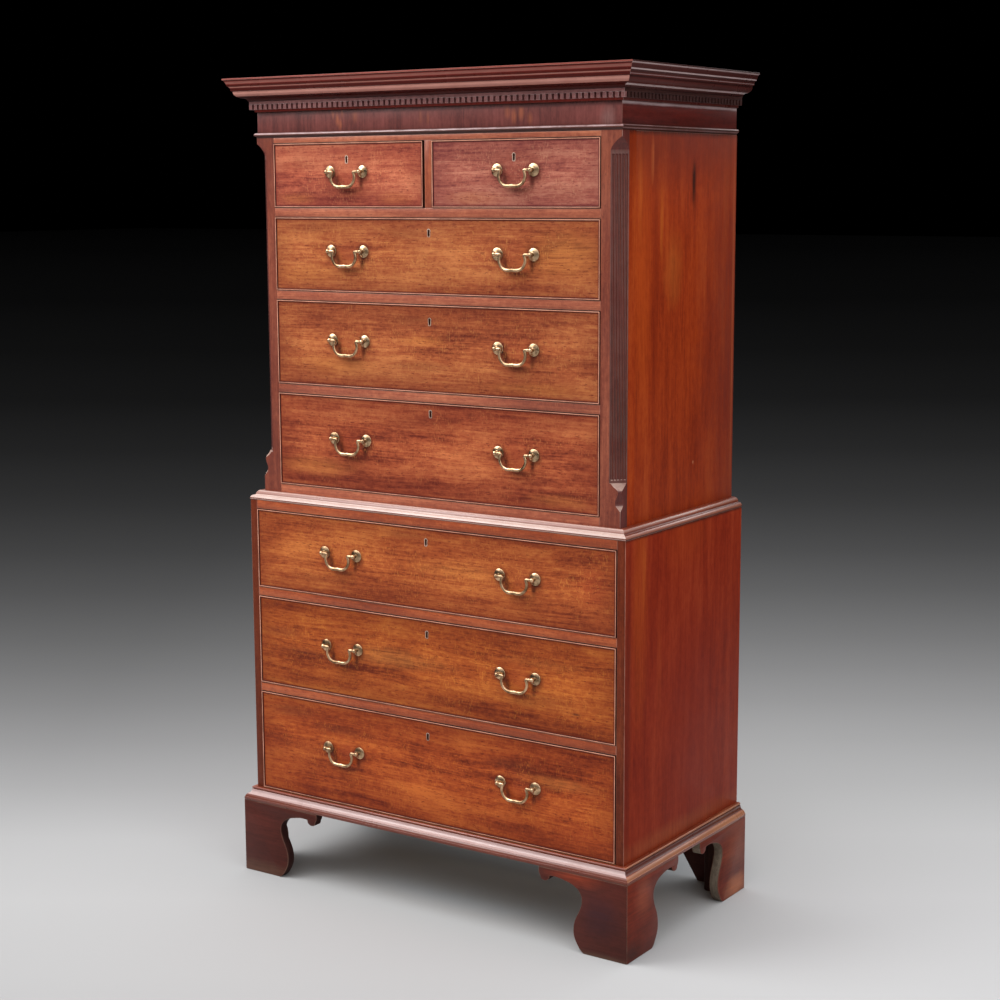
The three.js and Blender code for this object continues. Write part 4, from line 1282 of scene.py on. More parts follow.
class CHEST_OT_frieze(bpy.types.Operator):
    """Plain frieze with a half-round astragal along its lower edge"""

    bl_idname = "chest.frieze"
    bl_label = "Frieze"

    def execute(self, context):
        plum = shades("plum")
        front_finish = wood(
            "dark mahogany frieze", "Z", tinted(plum, (1.5, 1.62, 2.15)), 23.0, wander=0.05, contrast=0.9,
            flecks=0.15, glints=0.05, least=0.42, most=0.55, gloss=0.2, coat=0.0, wear=0.5, worn=WORN_PINK,
            patches=FRIEZE_PATCHES,
        )
        side_finish = wood(
            "dark mahogany frieze sides", "Y", tinted(plum, (0.9, 0.42, 0.45)), 24.0, flecks=0.2, glints=0.1,
            gloss=0.2, coat=0.0, worn=WORN_PINK, patches=FRIEZE_SIDE_HIGHLIGHT,
        )
        bead_finishes = (
            plum_wood("X", 25.0, worn=LILAC_WEAR_AND_HIGHLIGHT, wear=0.9, coat=0.6),
            plum_wood("Y", 26.0, worn=LILAC_WEAR_AND_HIGHLIGHT, wear=0.9, coat=0.0, gloss=0.1),
        )
        foot = frieze_low.z + ASTRAGAL_TOP
        top = frieze_high.z
        outline = [(-FRIEZE_DEPTH, foot), (0, foot), (0, top), (-FRIEZE_DEPTH, top)]
        for label, side in SIDES:
            bm = bmesh.new()
            moulding_run(bm, outline, FRIEZE_HALF, FRIEZE_FRONT, side)
            soften(bm, context.scene.chest_joinery.sharp_arris)
            finish = side_finish if side else front_finish
            finish_piece(f"frieze_{label}", bm, finish, stands_for=["frieze"])
        moulding_pieces(
            "astragal", ASTRAGAL_OUTLINE, frieze_low.z, FRIEZE_HALF, FRIEZE_FRONT, bead_finishes,
            ASTRAGAL_MEMBERS, node="frieze",
        )
        return {"FINISHED"}


class CHEST_OT_dentils(bpy.types.Operator):
    """Dentil course under the cornice: a band with a row of teeth under it, on the front and the sides"""

    bl_idname = "chest.dentils"
    bl_label = "Dentils"

    def execute(self, context):
        # The front's finish is the sides' colour about four times paler: painted light on the front teeth and
        # painted shade on the side teeth
        finishes = (
            plum_wood("X", 27.0, tint=(2.1, 3.3, 4.8), worn=(0.6, 0.45, 0.44), wear=0.7, gloss=0.2, coat=0.0),
            plum_wood("Y", 28.0, tint=(0.5, 0.75, 1.0), worn=(0.16, 0.1, 0.1), wear=0.4, gloss=0.1, coat=0.0),
        )
        for label, side in SIDES:
            bm = bmesh.new()
            add_dentils(bm, side)
            soften(bm, context.scene.chest_joinery.sharp_arris, segments=1)
            finish = finishes[abs(side)]
            finish_piece(f"dentils_{label}", bm, finish, stands_for=["dentil_course"])
        return {"FINISHED"}


def add_dentils(bm, side):
    """The band and the teeth under it, across the front where the side is 0, or back along a side."""
    foot = dentil_low.z
    top = dentil_high.z
    lift = top - DENTIL_BAND
    band = [(DENTIL_BED, lift), (DENTIL_REACH, lift), (DENTIL_REACH, top), (DENTIL_BED, top)]
    moulding_run(bm, band, FRIEZE_HALF, FRIEZE_FRONT, side)
    half = FRIEZE_HALF + DENTIL_REACH
    front = FRIEZE_FRONT - DENTIL_REACH
    depth = DENTIL_REACH - DENTIL_BED
    span = BACK - front if side else 2 * half
    gaps = round((span - DENTIL_WIDTH) / DENTIL_PITCH)
    for tooth in range(abs(side), gaps + 1):
        start = tooth * (span - DENTIL_WIDTH) / gaps
        end = start + DENTIL_WIDTH
        if side:
            first = (side * half, front + start, foot)
            last = (side * (half - depth), front + end, lift - NUDGE)
        else:
            first = (start - half, front, foot)
            last = (end - half, front + depth, lift - NUDGE)
        add_board(bm, first, last)


# Dusty unpolished mahogany where the cornice is out of sight, and the blocks glued behind it
BARE_SHADES = ((0.07, 0.035, 0.02), (0.17, 0.085, 0.05), (0.26, 0.14, 0.085))
CORNICE_BLOCK = 34 * MM
CORNICE_BLOCK_LENGTH = 70 * MM


class CHEST_OT_cornice(bpy.types.Operator):
    """Cornice mitred round the top, with the blocks glued behind it"""

    bl_idname = "chest.cornice"
    bl_label = "Cornice"

    def execute(self, context):
        plum = shades("plum")
        finishes = (
            wood(
                "cornice mahogany x", "X", tinted(plum, (1.6, 0.7, 0.72)), 29.0,
                worn=(0.75, 0.36, 0.29), coat=0.05, **{**SMOOTH, "gloss": 0.12},
            ),
            wood(
                "cornice mahogany y", "Y", tinted(plum, (0.83, 0.7, 0.87)), 30.0,
                worn=(0.64, 0.5, 0.49), coat=0.0, **{**SMOOTH, "gloss": 0.1},
            ),
        )
        dusty = {"least": 0.6, "most": 0.85, "gloss": 0.15, "coat": 0.0, "glints": 0.0, "wear": 0.2}
        bare = tuple(
            wood(f"bare mahogany {along.lower()}", along, BARE_SHADES, seed, worn=(0.3, 0.2, 0.13), **dusty)
            for along, seed in (("X", 33.0), ("Y", 34.0))
        )
        moulding_pieces(
            "cornice", CORNICE_OUTLINE, cornice_low.z, FRIEZE_HALF, FRIEZE_FRONT, finishes, CORNICE_MEMBERS,
            bare=bare,
        )
        pine = lining_wood("pine", "X", 31.0)
        bm = bmesh.new()
        add_cornice_blocks(bm)
        soften(bm, 2 * MM, segments=1)
        finish_piece("cornice_blocks", bm, pine)
        return {"FINISHED"}


def add_cornice_blocks(bm):
    """Three-cornered blocks along the front and the sides, glued behind the cornice."""
    half = FRIEZE_HALF - FRIEZE_DEPTH - NUDGE
    front = FRIEZE_FRONT + FRIEZE_DEPTH + NUDGE
    foot = cornice_low.z + NUDGE
    top = foot + CORNICE_BLOCK
    for share in (-0.8, -0.4, 0, 0.4, 0.8):
        x = share * half
        points = [(x, front, foot), (x, front + CORNICE_BLOCK, foot), (x, front, top)]
        add_prism(bm, points, (CORNICE_BLOCK_LENGTH, 0, 0))
    for side in (-1, 1):
        for share in (0.25, 0.6, 0.9):
            y = front + share * (BACK_PANEL - front) - CORNICE_BLOCK_LENGTH
            edge = side * half
            points = [(edge, y, foot), (edge - side * CORNICE_BLOCK, y, foot), (edge, y, top)]
            add_prism(bm, points, (0, CORNICE_BLOCK_LENGTH, 0))


# How much the wood of a front has shrunk from its opening
SHRUNK = {"drawer_1_left": 3 * MM}


def drawer_place(name):
    """Edges of a drawer front: left, right, foot, top and the plane of its face."""
    joinery = bpy.context.scene.chest_joinery
    low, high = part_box(f"{name}_front")
    return low.x, high.x - SHRUNK.get(name, 0), low.z, high.z, high.y - joinery.front_thickness


def tails(foot, top, pitch):
    """Dovetails up a corner, as (middle, half width at the root, half width at the tip)."""
    count = max(2, round((top - foot) / pitch))
    step = (top - foot) / count
    return [(foot + (index + 0.5) * step, step * 0.3, step * 0.38) for index in range(count)]


# Colour of each front's own board, as shares of the drawers' shades
DRAWER_TINTS = dict(zip(DRAWERS, (
    (1.02, 1.06, 2.3), (0.86, 1.09, 3.05), (0.85, 0.93, 1.3), (0.82, 0.88, 1.25),
    (0.8, 0.74, 1.15), (0.86, 0.82, 0.88), (0.82, 0.74, 0.6), (0.79, 0.61, 0.52),
)))
GOLD = (0.7, 0.25, 0.06)
SMOKE = (0.15, 0.035, 0.014)
HANDLED = (0.3, 0.045, 0.02)
# Painted shadow round the roses, beside the legs and under the grip of a handle
PAINTED_SHADOW = (0.045, 0.007, 0.004)

# Clouds seen on each front: middle across, height, half length, half height, colour and strength
DRAWER_CLOUDS = {
    "drawer_1_left": (
        (-0.36, 1.685, 0.09, 0.02, SMOKE, 0.35), (-0.23, 1.62, 0.16, 0.022, SMOKE, 0.3),
        (-0.37, 1.61, 0.07, 0.018, GOLD, 0.4), (-0.09, 1.61, 0.06, 0.02, GOLD, 0.3),
    ),
    "drawer_1_right": (
        (0.22, 1.7, 0.16, 0.02, SMOKE, 0.3), (0.36, 1.62, 0.08, 0.02, SMOKE, 0.25),
        (0.12, 1.61, 0.09, 0.02, GOLD, 0.3),
    ),
    "drawer_2": (
        (-0.33, 1.545, 0.08, 0.013, SMOKE, 0.45), (-0.06, 1.535, 0.12, 0.018, SMOKE, 0.35),
        (-0.35, 1.44, 0.12, 0.03, GOLD, 0.45), (0.36, 1.49, 0.14, 0.07, GOLD, 0.6),
        (0.0, 1.48, 0.16, 0.05, SMOKE, 0.2),
    ),
    "drawer_3": (
        (-0.05, 1.345, 0.1, 0.017, SMOKE, 0.5), (-0.03, 1.245, 0.11, 0.014, SMOKE, 0.5),
        (0.34, 1.27, 0.12, 0.016, SMOKE, 0.4), (-0.27, 1.235, 0.14, 0.03, GOLD, 0.45),
        (-0.02, 1.3, 0.08, 0.014, GOLD, 0.45), (0.28, 1.21, 0.18, 0.016, GOLD, 0.45),
    ),
    "drawer_4": (
        (-0.04, 1.115, 0.14, 0.024, SMOKE, 0.35), (-0.33, 1.0, 0.13, 0.028, GOLD, 0.5),
        (0.34, 0.975, 0.1, 0.018, GOLD, 0.4), (0.2, 1.06, 0.16, 0.02, SMOKE, 0.25),
        (-0.29, 1.012, 0.05, 0.012, SMOKE, 0.45),
    ),
    "drawer_5": (
        (-0.05, 0.868, 0.1, 0.012, SMOKE, 0.4), (-0.38, 0.8, 0.09, 0.04, GOLD, 0.3),
        (0.1, 0.8, 0.2, 0.03, GOLD, 0.35), (0.43, 0.8, 0.05, 0.05, (0.42, 0.06, 0.02), 0.5),
        (-0.3, 0.74, 0.12, 0.012, SMOKE, 0.3),
    ),
    "drawer_6": (
        (-0.42, 0.6, 0.09, 0.016, SMOKE, 0.5), (-0.36, 0.56, 0.12, 0.014, SMOKE, 0.35),
        (-0.1, 0.58, 0.2, 0.03, GOLD, 0.45), (0.3, 0.62, 0.14, 0.016, GOLD, 0.2),
        (0.3, 0.54, 0.16, 0.03, SMOKE, 0.35),
        (0.393, 0.522, 0.016, 0.004, (0.03, 0.01, 0.01), 0.9),
    ),
    "drawer_7": (
        (-0.4, 0.412, 0.1, 0.02, SMOKE, 0.6), (-0.25, 0.385, 0.12, 0.015, SMOKE, 0.45),
        (0.23, 0.385, 0.09, 0.017, SMOKE, 0.5), (-0.36, 0.31, 0.16, 0.06, SMOKE, 0.25),
        (0.35, 0.36, 0.14, 0.02, GOLD, 0.35), (0.4, 0.25, 0.1, 0.03, (0.5, 0.09, 0.02), 0.4),
    ),
}


# Handling round a handle, and painted shadow round its roses, beside its legs and under its grip: across and
# up from the middle of its axis, half length, half height, colour and strength
HANDLING_AND_SHADOWS = (
    (0, -0.008, 0.085, 0.05, HANDLED, 0.35), (0.006, -0.041, 0.036, 0.009, PAINTED_SHADOW, 1.0),
    (-0.042, -0.003, 0.024, 0.025, PAINTED_SHADOW, 1.3), (-0.026, -0.024, 0.008, 0.02, PAINTED_SHADOW, 0.9),
    (0.046, -0.003, 0.024, 0.025, PAINTED_SHADOW, 1.3), (0.042, -0.024, 0.008, 0.02, PAINTED_SHADOW, 0.9),
)


def drawer_finish(name, index):
    """Figured mahogany of one drawer front, each from its own board."""
    left, right, foot, top, face = drawer_place(name)
    marks = list(DRAWER_CLOUDS[name])
    for _, middle in handle_centres(name):
        marks += [(middle.x + x, middle.z + z, *rest) for x, z, *rest in HANDLING_AND_SHADOWS]
    panel = ((left + right) / 2, face, (foot + top) / 2), ((right - left) / 2, 1, (top - foot) / 2)
    return wood(
        f"figured mahogany {name.replace('_', ' ')}", "X", tinted(shades("drawer"), DRAWER_TINTS[name]),
        40.0 + 3.3 * index, wander=0.035, contrast=1.5, flecks=0.75, glints=0.45, least=0.34, most=0.48,
        gloss=0.15, coat=0.03, wear=0.3, patches=on_front(face, marks), panel=panel,
    )


def keyhole_outline(brasses, grow):
    """A keyhole's outline round its centre, grown by a margin."""
    radius = brasses.keyhole_radius + grow
    half_slot = brasses.keyhole_slot / 2 + grow
    foot = -brasses.keyhole_drop - grow
    start = math.asin(half_slot / radius)
    shoulder = foot + half_slot / 2
    points = [(-half_slot, shoulder), (-half_slot / 2, foot), (half_slot / 2, foot), (half_slot, shoulder)]
    for step in range(13):
        turn = start + step / 12 * 2 * (math.pi - start)
        points.append((math.sin(turn) * radius, -math.cos(turn) * radius))
    return points


# From the top of a drawer's opening down to its keyhole, as a share of the opening's height
KEY_DROPS = dict(zip(DRAWERS, (0.234, 0.234, 0.17, 0.17, 0.097, 0.152, 0.141, 0.137)))
# How far the box of a hanging bail reaches over its axis
BAIL_OVER_AXIS = 1.7 * MM


def keyhole_centre(name):
    """The middle of a drawer's keyhole, on its face."""
    left, right, foot, top, face = drawer_place(name)
    height = top - foot + 2 * FRONT_GAP
    return Vector(((left + right) / 2, face, top + FRONT_GAP - height * KEY_DROPS[name]))


def handle_centres(name):
    """The middle of each handle of a drawer, on the axis of its bail, with the bail's node."""
    axis_y = drawer_place(name)[4] - bpy.context.scene.chest_brasses.stand_off
    for suffix in ("",) if name.startswith("drawer_1") else ("_left", "_right"):
        node = f"{name}_bail{suffix}"
        low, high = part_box(node)
        yield node, Vector(((low.x + high.x) / 2, axis_y, high.z - BAIL_OVER_AXIS))


class CHEST_OT_drawer_fronts(bpy.types.Operator):
    """Drawer fronts: a figured face with a keyhole, lapped dovetails behind, and a cockbead round it"""

    bl_idname = "chest.drawer_fronts"
    bl_label = "Drawer Fronts"

    def execute(self, context):
        joinery = context.scene.chest_joinery
        brasses = context.scene.chest_brasses
        # The bead's pale worn colour is its painted highlight line
        bead_finish = plum_wood("X", 33.0, wear=1.0, worn=(0.9, 0.42, 0.28), gloss=0.12, coat=0.0, even=0.5)
        for index, name in enumerate(DRAWERS):
            finish = drawer_finish(name, index)
            bm = bmesh.new()
            add_drawer_front(bm, name, joinery, brasses)
            finish_piece(
                f"{name}_front_panel", bm, finish, body=name, stands_for=[f"{name}_front"],
            )
            bm = bmesh.new()
            add_cockbead(bm, name, joinery)
            node = f"{name}_front"
            finish_piece(f"{name}_cockbead", bm, bead_finish, body=name, stands_for=[node])
        return {"FINISHED"}


def add_drawer_front(bm, name, joinery, brasses):
    """The face with its keyhole, and behind it the core and the pins between the dovetails."""
    left, right, foot, top, face = drawer_place(name)
    margin = joinery.cockbead_width + NUDGE
    lower = foot + margin
    upper = top - margin
    centre = keyhole_centre(name)
    outer = [(left + margin, lower), (right - margin, lower), (right - margin, upper), (left + margin, upper)]
    hole = [(centre.x + x, centre.z + z) for x, z in keyhole_outline(brasses, 0)]
    edges = []
    for loop in (outer, hole):
        verts = [bm.verts.new((x, face, z)) for x, z in loop]
        edges += [bm.edges.new(pair) for pair in zip(verts, verts[1:] + verts[:1])]
    filled = bmesh.ops.triangle_fill(bm, use_beauty=True, edges=edges, normal=(0, -1, 0))
    faces = [item for item in filled["geom"] if isinstance(item, bmesh.types.BMFace)]
    pushed = moved_verts(bmesh.ops.extrude_face_region(bm, geom=faces))
    bmesh.ops.translate(bm, vec=(0, joinery.lap, 0), verts=pushed)
    core = face + joinery.lap + NUDGE
    rear = face + joinery.front_thickness
    step = joinery.side_thickness + FRONT_GAP
    hole_half = brasses.keyhole_radius + FRONT_GAP
    for start, end in ((left + step, centre.x - hole_half), (centre.x + hole_half, right - step)):
        add_board(bm, (start, core, lower), (end, rear, upper))
    box_low, box_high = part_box(f"{name}_box")
    places = tails(box_low.z, box_high.z, joinery.tail_pitch)
    add_pins(bm, places, (left + margin, left + step), (lower, upper), (core, rear))
    add_pins(bm, places, (right - margin, right - step), (lower, upper), (core, rear))


def add_pins(bm, places, across, heights, depths):
    """The pins at one end of a drawer front, between the places of its dovetails."""
    edge, inner = across
    foot, top = heights
    core, rear = depths
    lower = [(foot, foot)] + [(middle + root, middle + tip) for middle, root, tip in places]
    upper = [(middle - root, middle - tip) for middle, root, tip in places] + [(top, top)]
    for (root_low, tip_low), (root_high, tip_high) in zip(lower, upper):
        outline = [(rear, root_low), (core, tip_low), (core, tip_high), (rear, root_high)]
        add_prism(bm, [(edge, y, z) for y, z in outline], (inner - edge, 0, 0))


def add_cockbead(bm, name, joinery):
    """The mitred bead round a drawer front."""
    left, right, foot, top, face = drawer_place(name)
    arris = bm.faces.layers.float.new("arris")
    width = joinery.cockbead_width
    front = face - joinery.cockbead_relief
    corners = [(left, front, foot), (right, front, foot), (right, front, top), (left, front, top)]
    verts = [bm.verts.new(corner) for corner in corners]
    add_ring(bm, verts, width, joinery.front_thickness + joinery.cockbead_relief)
    bmesh.ops.recalc_face_normals(bm, faces=bm.faces)
    rims = [
        edge for edge in bm.edges
        if all(abs(vert.co.y - front) < NUDGE for vert in edge.verts) and edge.calc_face_angle(0) > 1
    ]
    bmesh.ops.bevel(
        bm, geom=rims, offset=width * 0.42, offset_type="OFFSET", segments=3, profile=0.5, affect="EDGES",
        clamp_overlap=True, material=-1,
    )
    # Painted highlight along the bead's front, and painted shade on its sides and back
    for bead_face in bm.faces:
        rubbed = bead_face.normal.y < -0.8 and bead_face.calc_center_median().y < front + width * 0.3
        bead_face[arris] = 0.8 if rubbed else -0.8


class CHEST_OT_drawer_boxes(bpy.types.Operator):
    """Drawer boxes: dovetailed sides and back, and a bottom let in above their lower edges"""

    bl_idname = "chest.drawer_boxes"
    bl_label = "Drawer Boxes"

    def execute(self, context):
        joinery = context.scene.chest_joinery
        side_oak = lining_wood("oak", "Y", 35.0)
        back_oak = lining_wood("oak", "X", 36.0)
        for name in DRAWERS:
            bm = bmesh.new()
            add_drawer_sides(bm, name, joinery)
            soften(bm, joinery.sharp_arris, segments=1)
            finish_piece(f"{name}_sides", bm, side_oak, body=name, stands_for=[f"{name}_box"])
            bm = bmesh.new()
            add_drawer_back(bm, name, joinery)
            soften(bm, joinery.sharp_arris, segments=1)
            finish_piece(f"{name}_back", bm, back_oak, body=name, stands_for=[f"{name}_box"])
        return {"FINISHED"}


def add_drawer_sides(bm, name, joinery):
    """Both sides, with tails that reach into the front and through the back."""
    low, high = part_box(f"{name}_box")
    face = drawer_place(name)[4]
    root_front = face + joinery.front_thickness + NUDGE
    tip_front = face + joinery.lap + NUDGE
    root_back = high.y - joinery.side_thickness
    places = tails(low.z, high.z, joinery.tail_pitch)
    outline = [(root_back, low.z), (root_front, low.z)]
    for middle, root, tip in places:
        outline += [(root_front, middle - root), (tip_front, middle - tip)]
        outline += [(tip_front, middle + tip), (root_front, middle + root)]
    outline += [(root_front, high.z), (root_back, high.z)]
    for middle, root, tip in reversed(places):
        outline += [(root_back, middle + root), (high.y, middle + tip)]
        outline += [(high.y, middle - tip), (root_back, middle - root)]
    for x in (low.x, high.x - joinery.side_thickness):
        add_prism(bm, [(x, y, z) for y, z in outline], (joinery.side_thickness, 0, 0))


BACK_DROP = 4 * MM


def add_drawer_back(bm, name, joinery):
    """The back, a little lower than the sides, and the bottom board."""
    low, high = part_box(f"{name}_box")
    step = joinery.side_thickness + NUDGE
    core = high.y - joinery.side_thickness + NUDGE
    left, right = low.x + step, high.x - step
    bottom = low.z + joinery.bottom_rise
    top = bottom + joinery.bottom_thickness
    add_board(bm, (left, core, low.z + FRONT_GAP), (right, high.y, high.z - BACK_DROP))
    add_board(bm, (left, low.y + NUDGE, bottom), (right, core - NUDGE, top))


THREAD_PROUD = 0.25 * MM
THREAD_DEPTH = 4 * MM
LOCK_PLATE = 1.6 * MM
LOCK_CASE = 8 * MM
# Shares of the plate's height over the keyhole, and of its half width for the case and for the screws
LOCK_OVER = 0.32
LOCK_CASE_WIDTH = 0.7
LOCK_SCREWS = 0.85
# Margins of the case in its plate, under it and over it, and of the screws
LOCK_MARGINS = 4 * MM, 1 * MM
SCREW_MARGIN = 8 * MM
PIN_LENGTH = 14 * MM
PIN_END = 2 * MM
# Profile of a screw's head, as (radius, along)
SCREW_HEAD = [(0, 1.2 * MM), (1.4 * MM, 1.0 * MM), (2.6 * MM, 0), (2.6 * MM, -1 * MM), (0, -1 * MM)]


class CHEST_OT_locks(bpy.types.Operator):
    """Brass thread round each keyhole, and the iron lock behind it"""

    bl_idname = "chest.locks"
    bl_label = "Locks"

    def execute(self, context):
        joinery = context.scene.chest_joinery
        brasses = context.scene.chest_brasses
        brass = metal("brass thread", (0.75, 0.56, 0.45), (0.2, 0.11, 0.08), 0.5, 0.7)
        iron = metal("lock iron", tuple(context.scene.chest_finishes.iron), (0.1, 0.06, 0.04), 0.45)
        for name in DRAWERS:
            centre = keyhole_centre(name)
            bm = bmesh.new()
            add_thread(bm, centre, brasses)
            finish_piece(f"{name}_keyhole_thread", bm, brass, body=name)
            bm = bmesh.new()
            add_lock(bm, centre, joinery, brasses)
            finish_piece(f"{name}_lock", bm, iron, body=name)
        return {"FINISHED"}


def add_thread(bm, centre, brasses):
    """A thin ring of brass let in round the keyhole."""
    outline = keyhole_outline(brasses, brasses.thread_width)
    verts = [bm.verts.new((centre.x + x, centre.y - THREAD_PROUD, centre.z + z)) for x, z in outline]
    add_ring(bm, verts, brasses.thread_width, THREAD_DEPTH)


def add_lock(bm, centre, joinery, brasses):
    """The lock's plate and case on the back of the front, with its pin and four screws."""
    rear = centre.y + joinery.front_thickness
    plate = rear + LOCK_PLATE
    half = brasses.lock_width / 2
    case_half = half * LOCK_CASE_WIDTH
    top = centre.z + brasses.lock_height * LOCK_OVER
    foot = top - brasses.lock_height
    add_board(bm, (centre.x - half, rear, foot), (centre.x + half, plate, top))
    under, over = LOCK_MARGINS
    case_low = (centre.x - case_half, plate, foot + under)
    add_board(bm, case_low, (centre.x + case_half, rear + LOCK_CASE, top - over))
    soften(bm, 0.5 * MM)
    pin = brasses.keyhole_slot * 0.35
    profile = [(0, 0), (pin, 0), (pin, PIN_LENGTH), (0, PIN_LENGTH)]
    add_turned(bm, profile, (centre.x, rear + PIN_END - PIN_LENGTH, centre.z), (0, 1, 0), 12)
    for side in (-1, 1):
        for height in (foot + SCREW_MARGIN, top - SCREW_MARGIN):
            place = (centre.x + side * half * LOCK_SCREWS, plate, height)
            add_turned(bm, SCREW_HEAD, place, (0, 1, 0), 12)


def brass_finish(name, roughness):
    """Pale brass, darker where it is seldom rubbed."""
    return metal(name, tuple(bpy.context.scene.chest_finishes.brass), (0.11, 0.055, 0.022), roughness, 0.85)


class CHEST_OT_handle_posts(bpy.types.Operator):
    """Dished round roses with a post and a round head on each, and square nuts inside the drawer"""

    bl_idname = "chest.handle_posts"
    bl_label = "Handle Posts"

    def execute(self, context):
        brasses = context.scene.chest_brasses
        joinery = context.scene.chest_joinery
        finishes = (
            brass_finish("brass roses", 0.18),
            metal("brass in the shade", (0.2, 0.115, 0.05), (0.04, 0.02, 0.01), 0.35, 0.8),
        )
        for name in DRAWERS:
            bm = bmesh.new()
            for _, middle in handle_centres(name):
                for side in (-1, 1):
                    place = middle + Vector((side * brasses.post_spacing / 2, brasses.stand_off, 0))
                    add_rose(bm, place, brasses)
                    add_nut(bm, place + Vector((0, joinery.front_thickness, 0)))
            shade_posts(bm, name, brasses)
            node = f"{name}_front"
            finish_piece(f"{name}_handle_posts", bm, finishes, body=name, stands_for=[node])
        return {"FINISHED"}


SHADE_REACH = 4.6 * MM


def shade_posts(bm, name, brasses):
    """Gives the necks of the posts the darker brass."""
    middles = [middle for _, middle in handle_centres(name)]
    axes = [middle.x + side * brasses.post_spacing / 2 for middle in middles for side in (-1, 1)]
    front, height = middles[0].y + brasses.stand_off, middles[0].z
    for face in bm.faces:
        centre = face.calc_center_median()
        near = min(math.hypot(centre.x - x, centre.z - height) for x in axes)
        out = front - centre.y
        shaded = near < SHADE_REACH and 1 * MM < out < brasses.stand_off - brasses.head_radius * 0.7
        face.material_index = 1 if shaded else 0


# A rose from its rim to its neck, as (share of the radius, millimetres out)
ROSE_PROFILE = [
    (0.9, -0.6), (1.0, 0.1), (1.0, 0.9), (0.97, 1.4), (0.9, 1.9), (0.8, 2.6), (0.68, 3.3), (0.54, 3.9),
    (0.4, 4.3), (0.3, 4.6), (0.26, 5.0),
]


# A post's neck and collar, as (radius, out from the drawer or under the head), and the radii of its tip
NECK_FOOT = (2.9 * MM, 5.6 * MM)
NECK_TOP = (2.6 * MM, 1.2 * MM)
COLLAR_RADIUS = 3.3 * MM
TIP_RADII = 1.5 * MM, 1.2 * MM


def add_rose(bm, place, brasses):
    """A rose and its post, out from the drawer's face."""
    radius = brasses.rose_radius
    head = brasses.head_radius
    reach = brasses.stand_off
    profile = [(share * radius, out * MM) for share, out in [(0, ROSE_PROFILE[0][1]), *ROSE_PROFILE]]
    profile += [NECK_FOOT, (NECK_TOP[0], reach - head - NECK_TOP[1]), (COLLAR_RADIUS, reach - head)]
    for step in range(2, 10):
        turn = step / 10 * math.pi
        profile.append((math.sin(turn) * head, reach - math.cos(turn) * head * 0.95))
    profile += [(TIP_RADII[0], reach + head * 0.96), (TIP_RADII[1], reach + head), (0, reach + head)]
    add_turned(bm, profile, place, (0, -1, 0))


NUT_HALF = 5 * MM
NUT_THICKNESS = 3 * MM
# Profile of the end of a post inside the drawer, as (radius, along)
POST_END = [(0, 0), (2.2 * MM, 0), (2.2 * MM, 5.4 * MM), (1.7 * MM, 6 * MM), (0, 6 * MM)]


def add_nut(bm, place):
    """The nut, turned another way at each place, and the end of the post inside the drawer."""
    low = place - Vector((NUT_HALF, -NUDGE, NUT_HALF))
    verts = add_board(bm, low, place + Vector((NUT_HALF, NUT_THICKNESS, NUT_HALF)))
    turn = Matrix.Rotation(math.radians(12 + 500 * place.x), 3, "Y")
    bmesh.ops.rotate(bm, cent=place, matrix=turn, verts=verts)
    add_turned(bm, POST_END, place, (0, 1, 0), 12)


# Half of a bail from the middle of its grip: across, down and a share from the leg's to the grip's thickness
BAIL_CURVE = [
    (0, 32.5, 0.9), (4.5, 33.0, 0.85), (10.5, 33.3, 1.0), (17, 32.5, 0.75), (22.5, 30.2, 0.3),
    (27.5, 26.3, 0.05), (31.3, 20.5, 0), (33.2, 14, 0), (32.8, 8, 0), (31.2, 3.6, 0), (30.6, 1.6, 0.1),
    (31.6, 0.35, 0.1), (34, 0, 0), (38, 0, 0),
]


class CHEST_OT_bails(bpy.types.Operator):
    """Swan-neck bails, thin at the pins and swelled in the grip"""

    bl_idname = "chest.bails"
    bl_label = "Bails"

    def execute(self, context):
        brasses = context.scene.chest_brasses
        finish = brass_finish("brass bails", 0.22)
        for name in DRAWERS:
            for node, middle in handle_centres(name):
                bm = bmesh.new()
                add_bail(bm, middle, brasses)
                finish_piece(f"{node}_cast", bm, finish, body=node, stands_for=[node], smooth=60)
        return {"FINISHED"}


def add_bail(bm, middle, brasses):
    """A bail hanging from its axis."""
    half = through(BAIL_CURVE, 4)
    end = (brasses.post_spacing / 2 - 0.5 * brasses.head_radius) / MM
    half += [Vector((end - 1, 0, 0)), Vector((end, 0, -0.5)), Vector((end + 4, 0, -0.5))]
    whole = [Vector((-x, down, swell)) for x, down, swell in reversed(half[1:])] + half
    path = [middle + Vector((x * MM, 0, -down * MM)) for x, down, _ in whole]
    leg = brasses.leg_radius
    radii = []
    for _, _, swell in whole:
        thicker = max(0, swell) * (brasses.grip_radius - leg)
        thinner = min(0, swell) * 2 * (leg - brasses.pin_radius)
        radii.append(leg + thicker + thinner)
    add_bar(bm, path, radii, 14)


class CHEST_OT_stage(bpy.types.Operator):
    """Pale floor, soft studio lights and the camera"""

    bl_idname = "chest.stage"
    bl_label = "Stage"

    def execute(self, context):
        stage = context.scene.chest_stage
        bm = bmesh.new()
        bmesh.ops.create_grid(bm, x_segments=1, y_segments=1, size=FLOOR_HALF)
        mesh = bpy.data.meshes.new("floor")
        bm.to_mesh(mesh)
        bm.free()
        floor = bpy.data.objects.new("floor", mesh)
        context.scene.collection.objects.link(floor)
        mesh.materials.append(floor_finish(tuple(context.scene.chest_finishes.floor)))
        for name, (size, place, target) in LIGHTS.items():
            add_light(f"{name}_light", getattr(stage, name), size, place, target)
        context.scene.view_settings.view_transform = "Standard"
        context.scene.world = overhead_sky(stage.sky)
        add_camera(context, stage.lens)
        return {"FINISHED"}


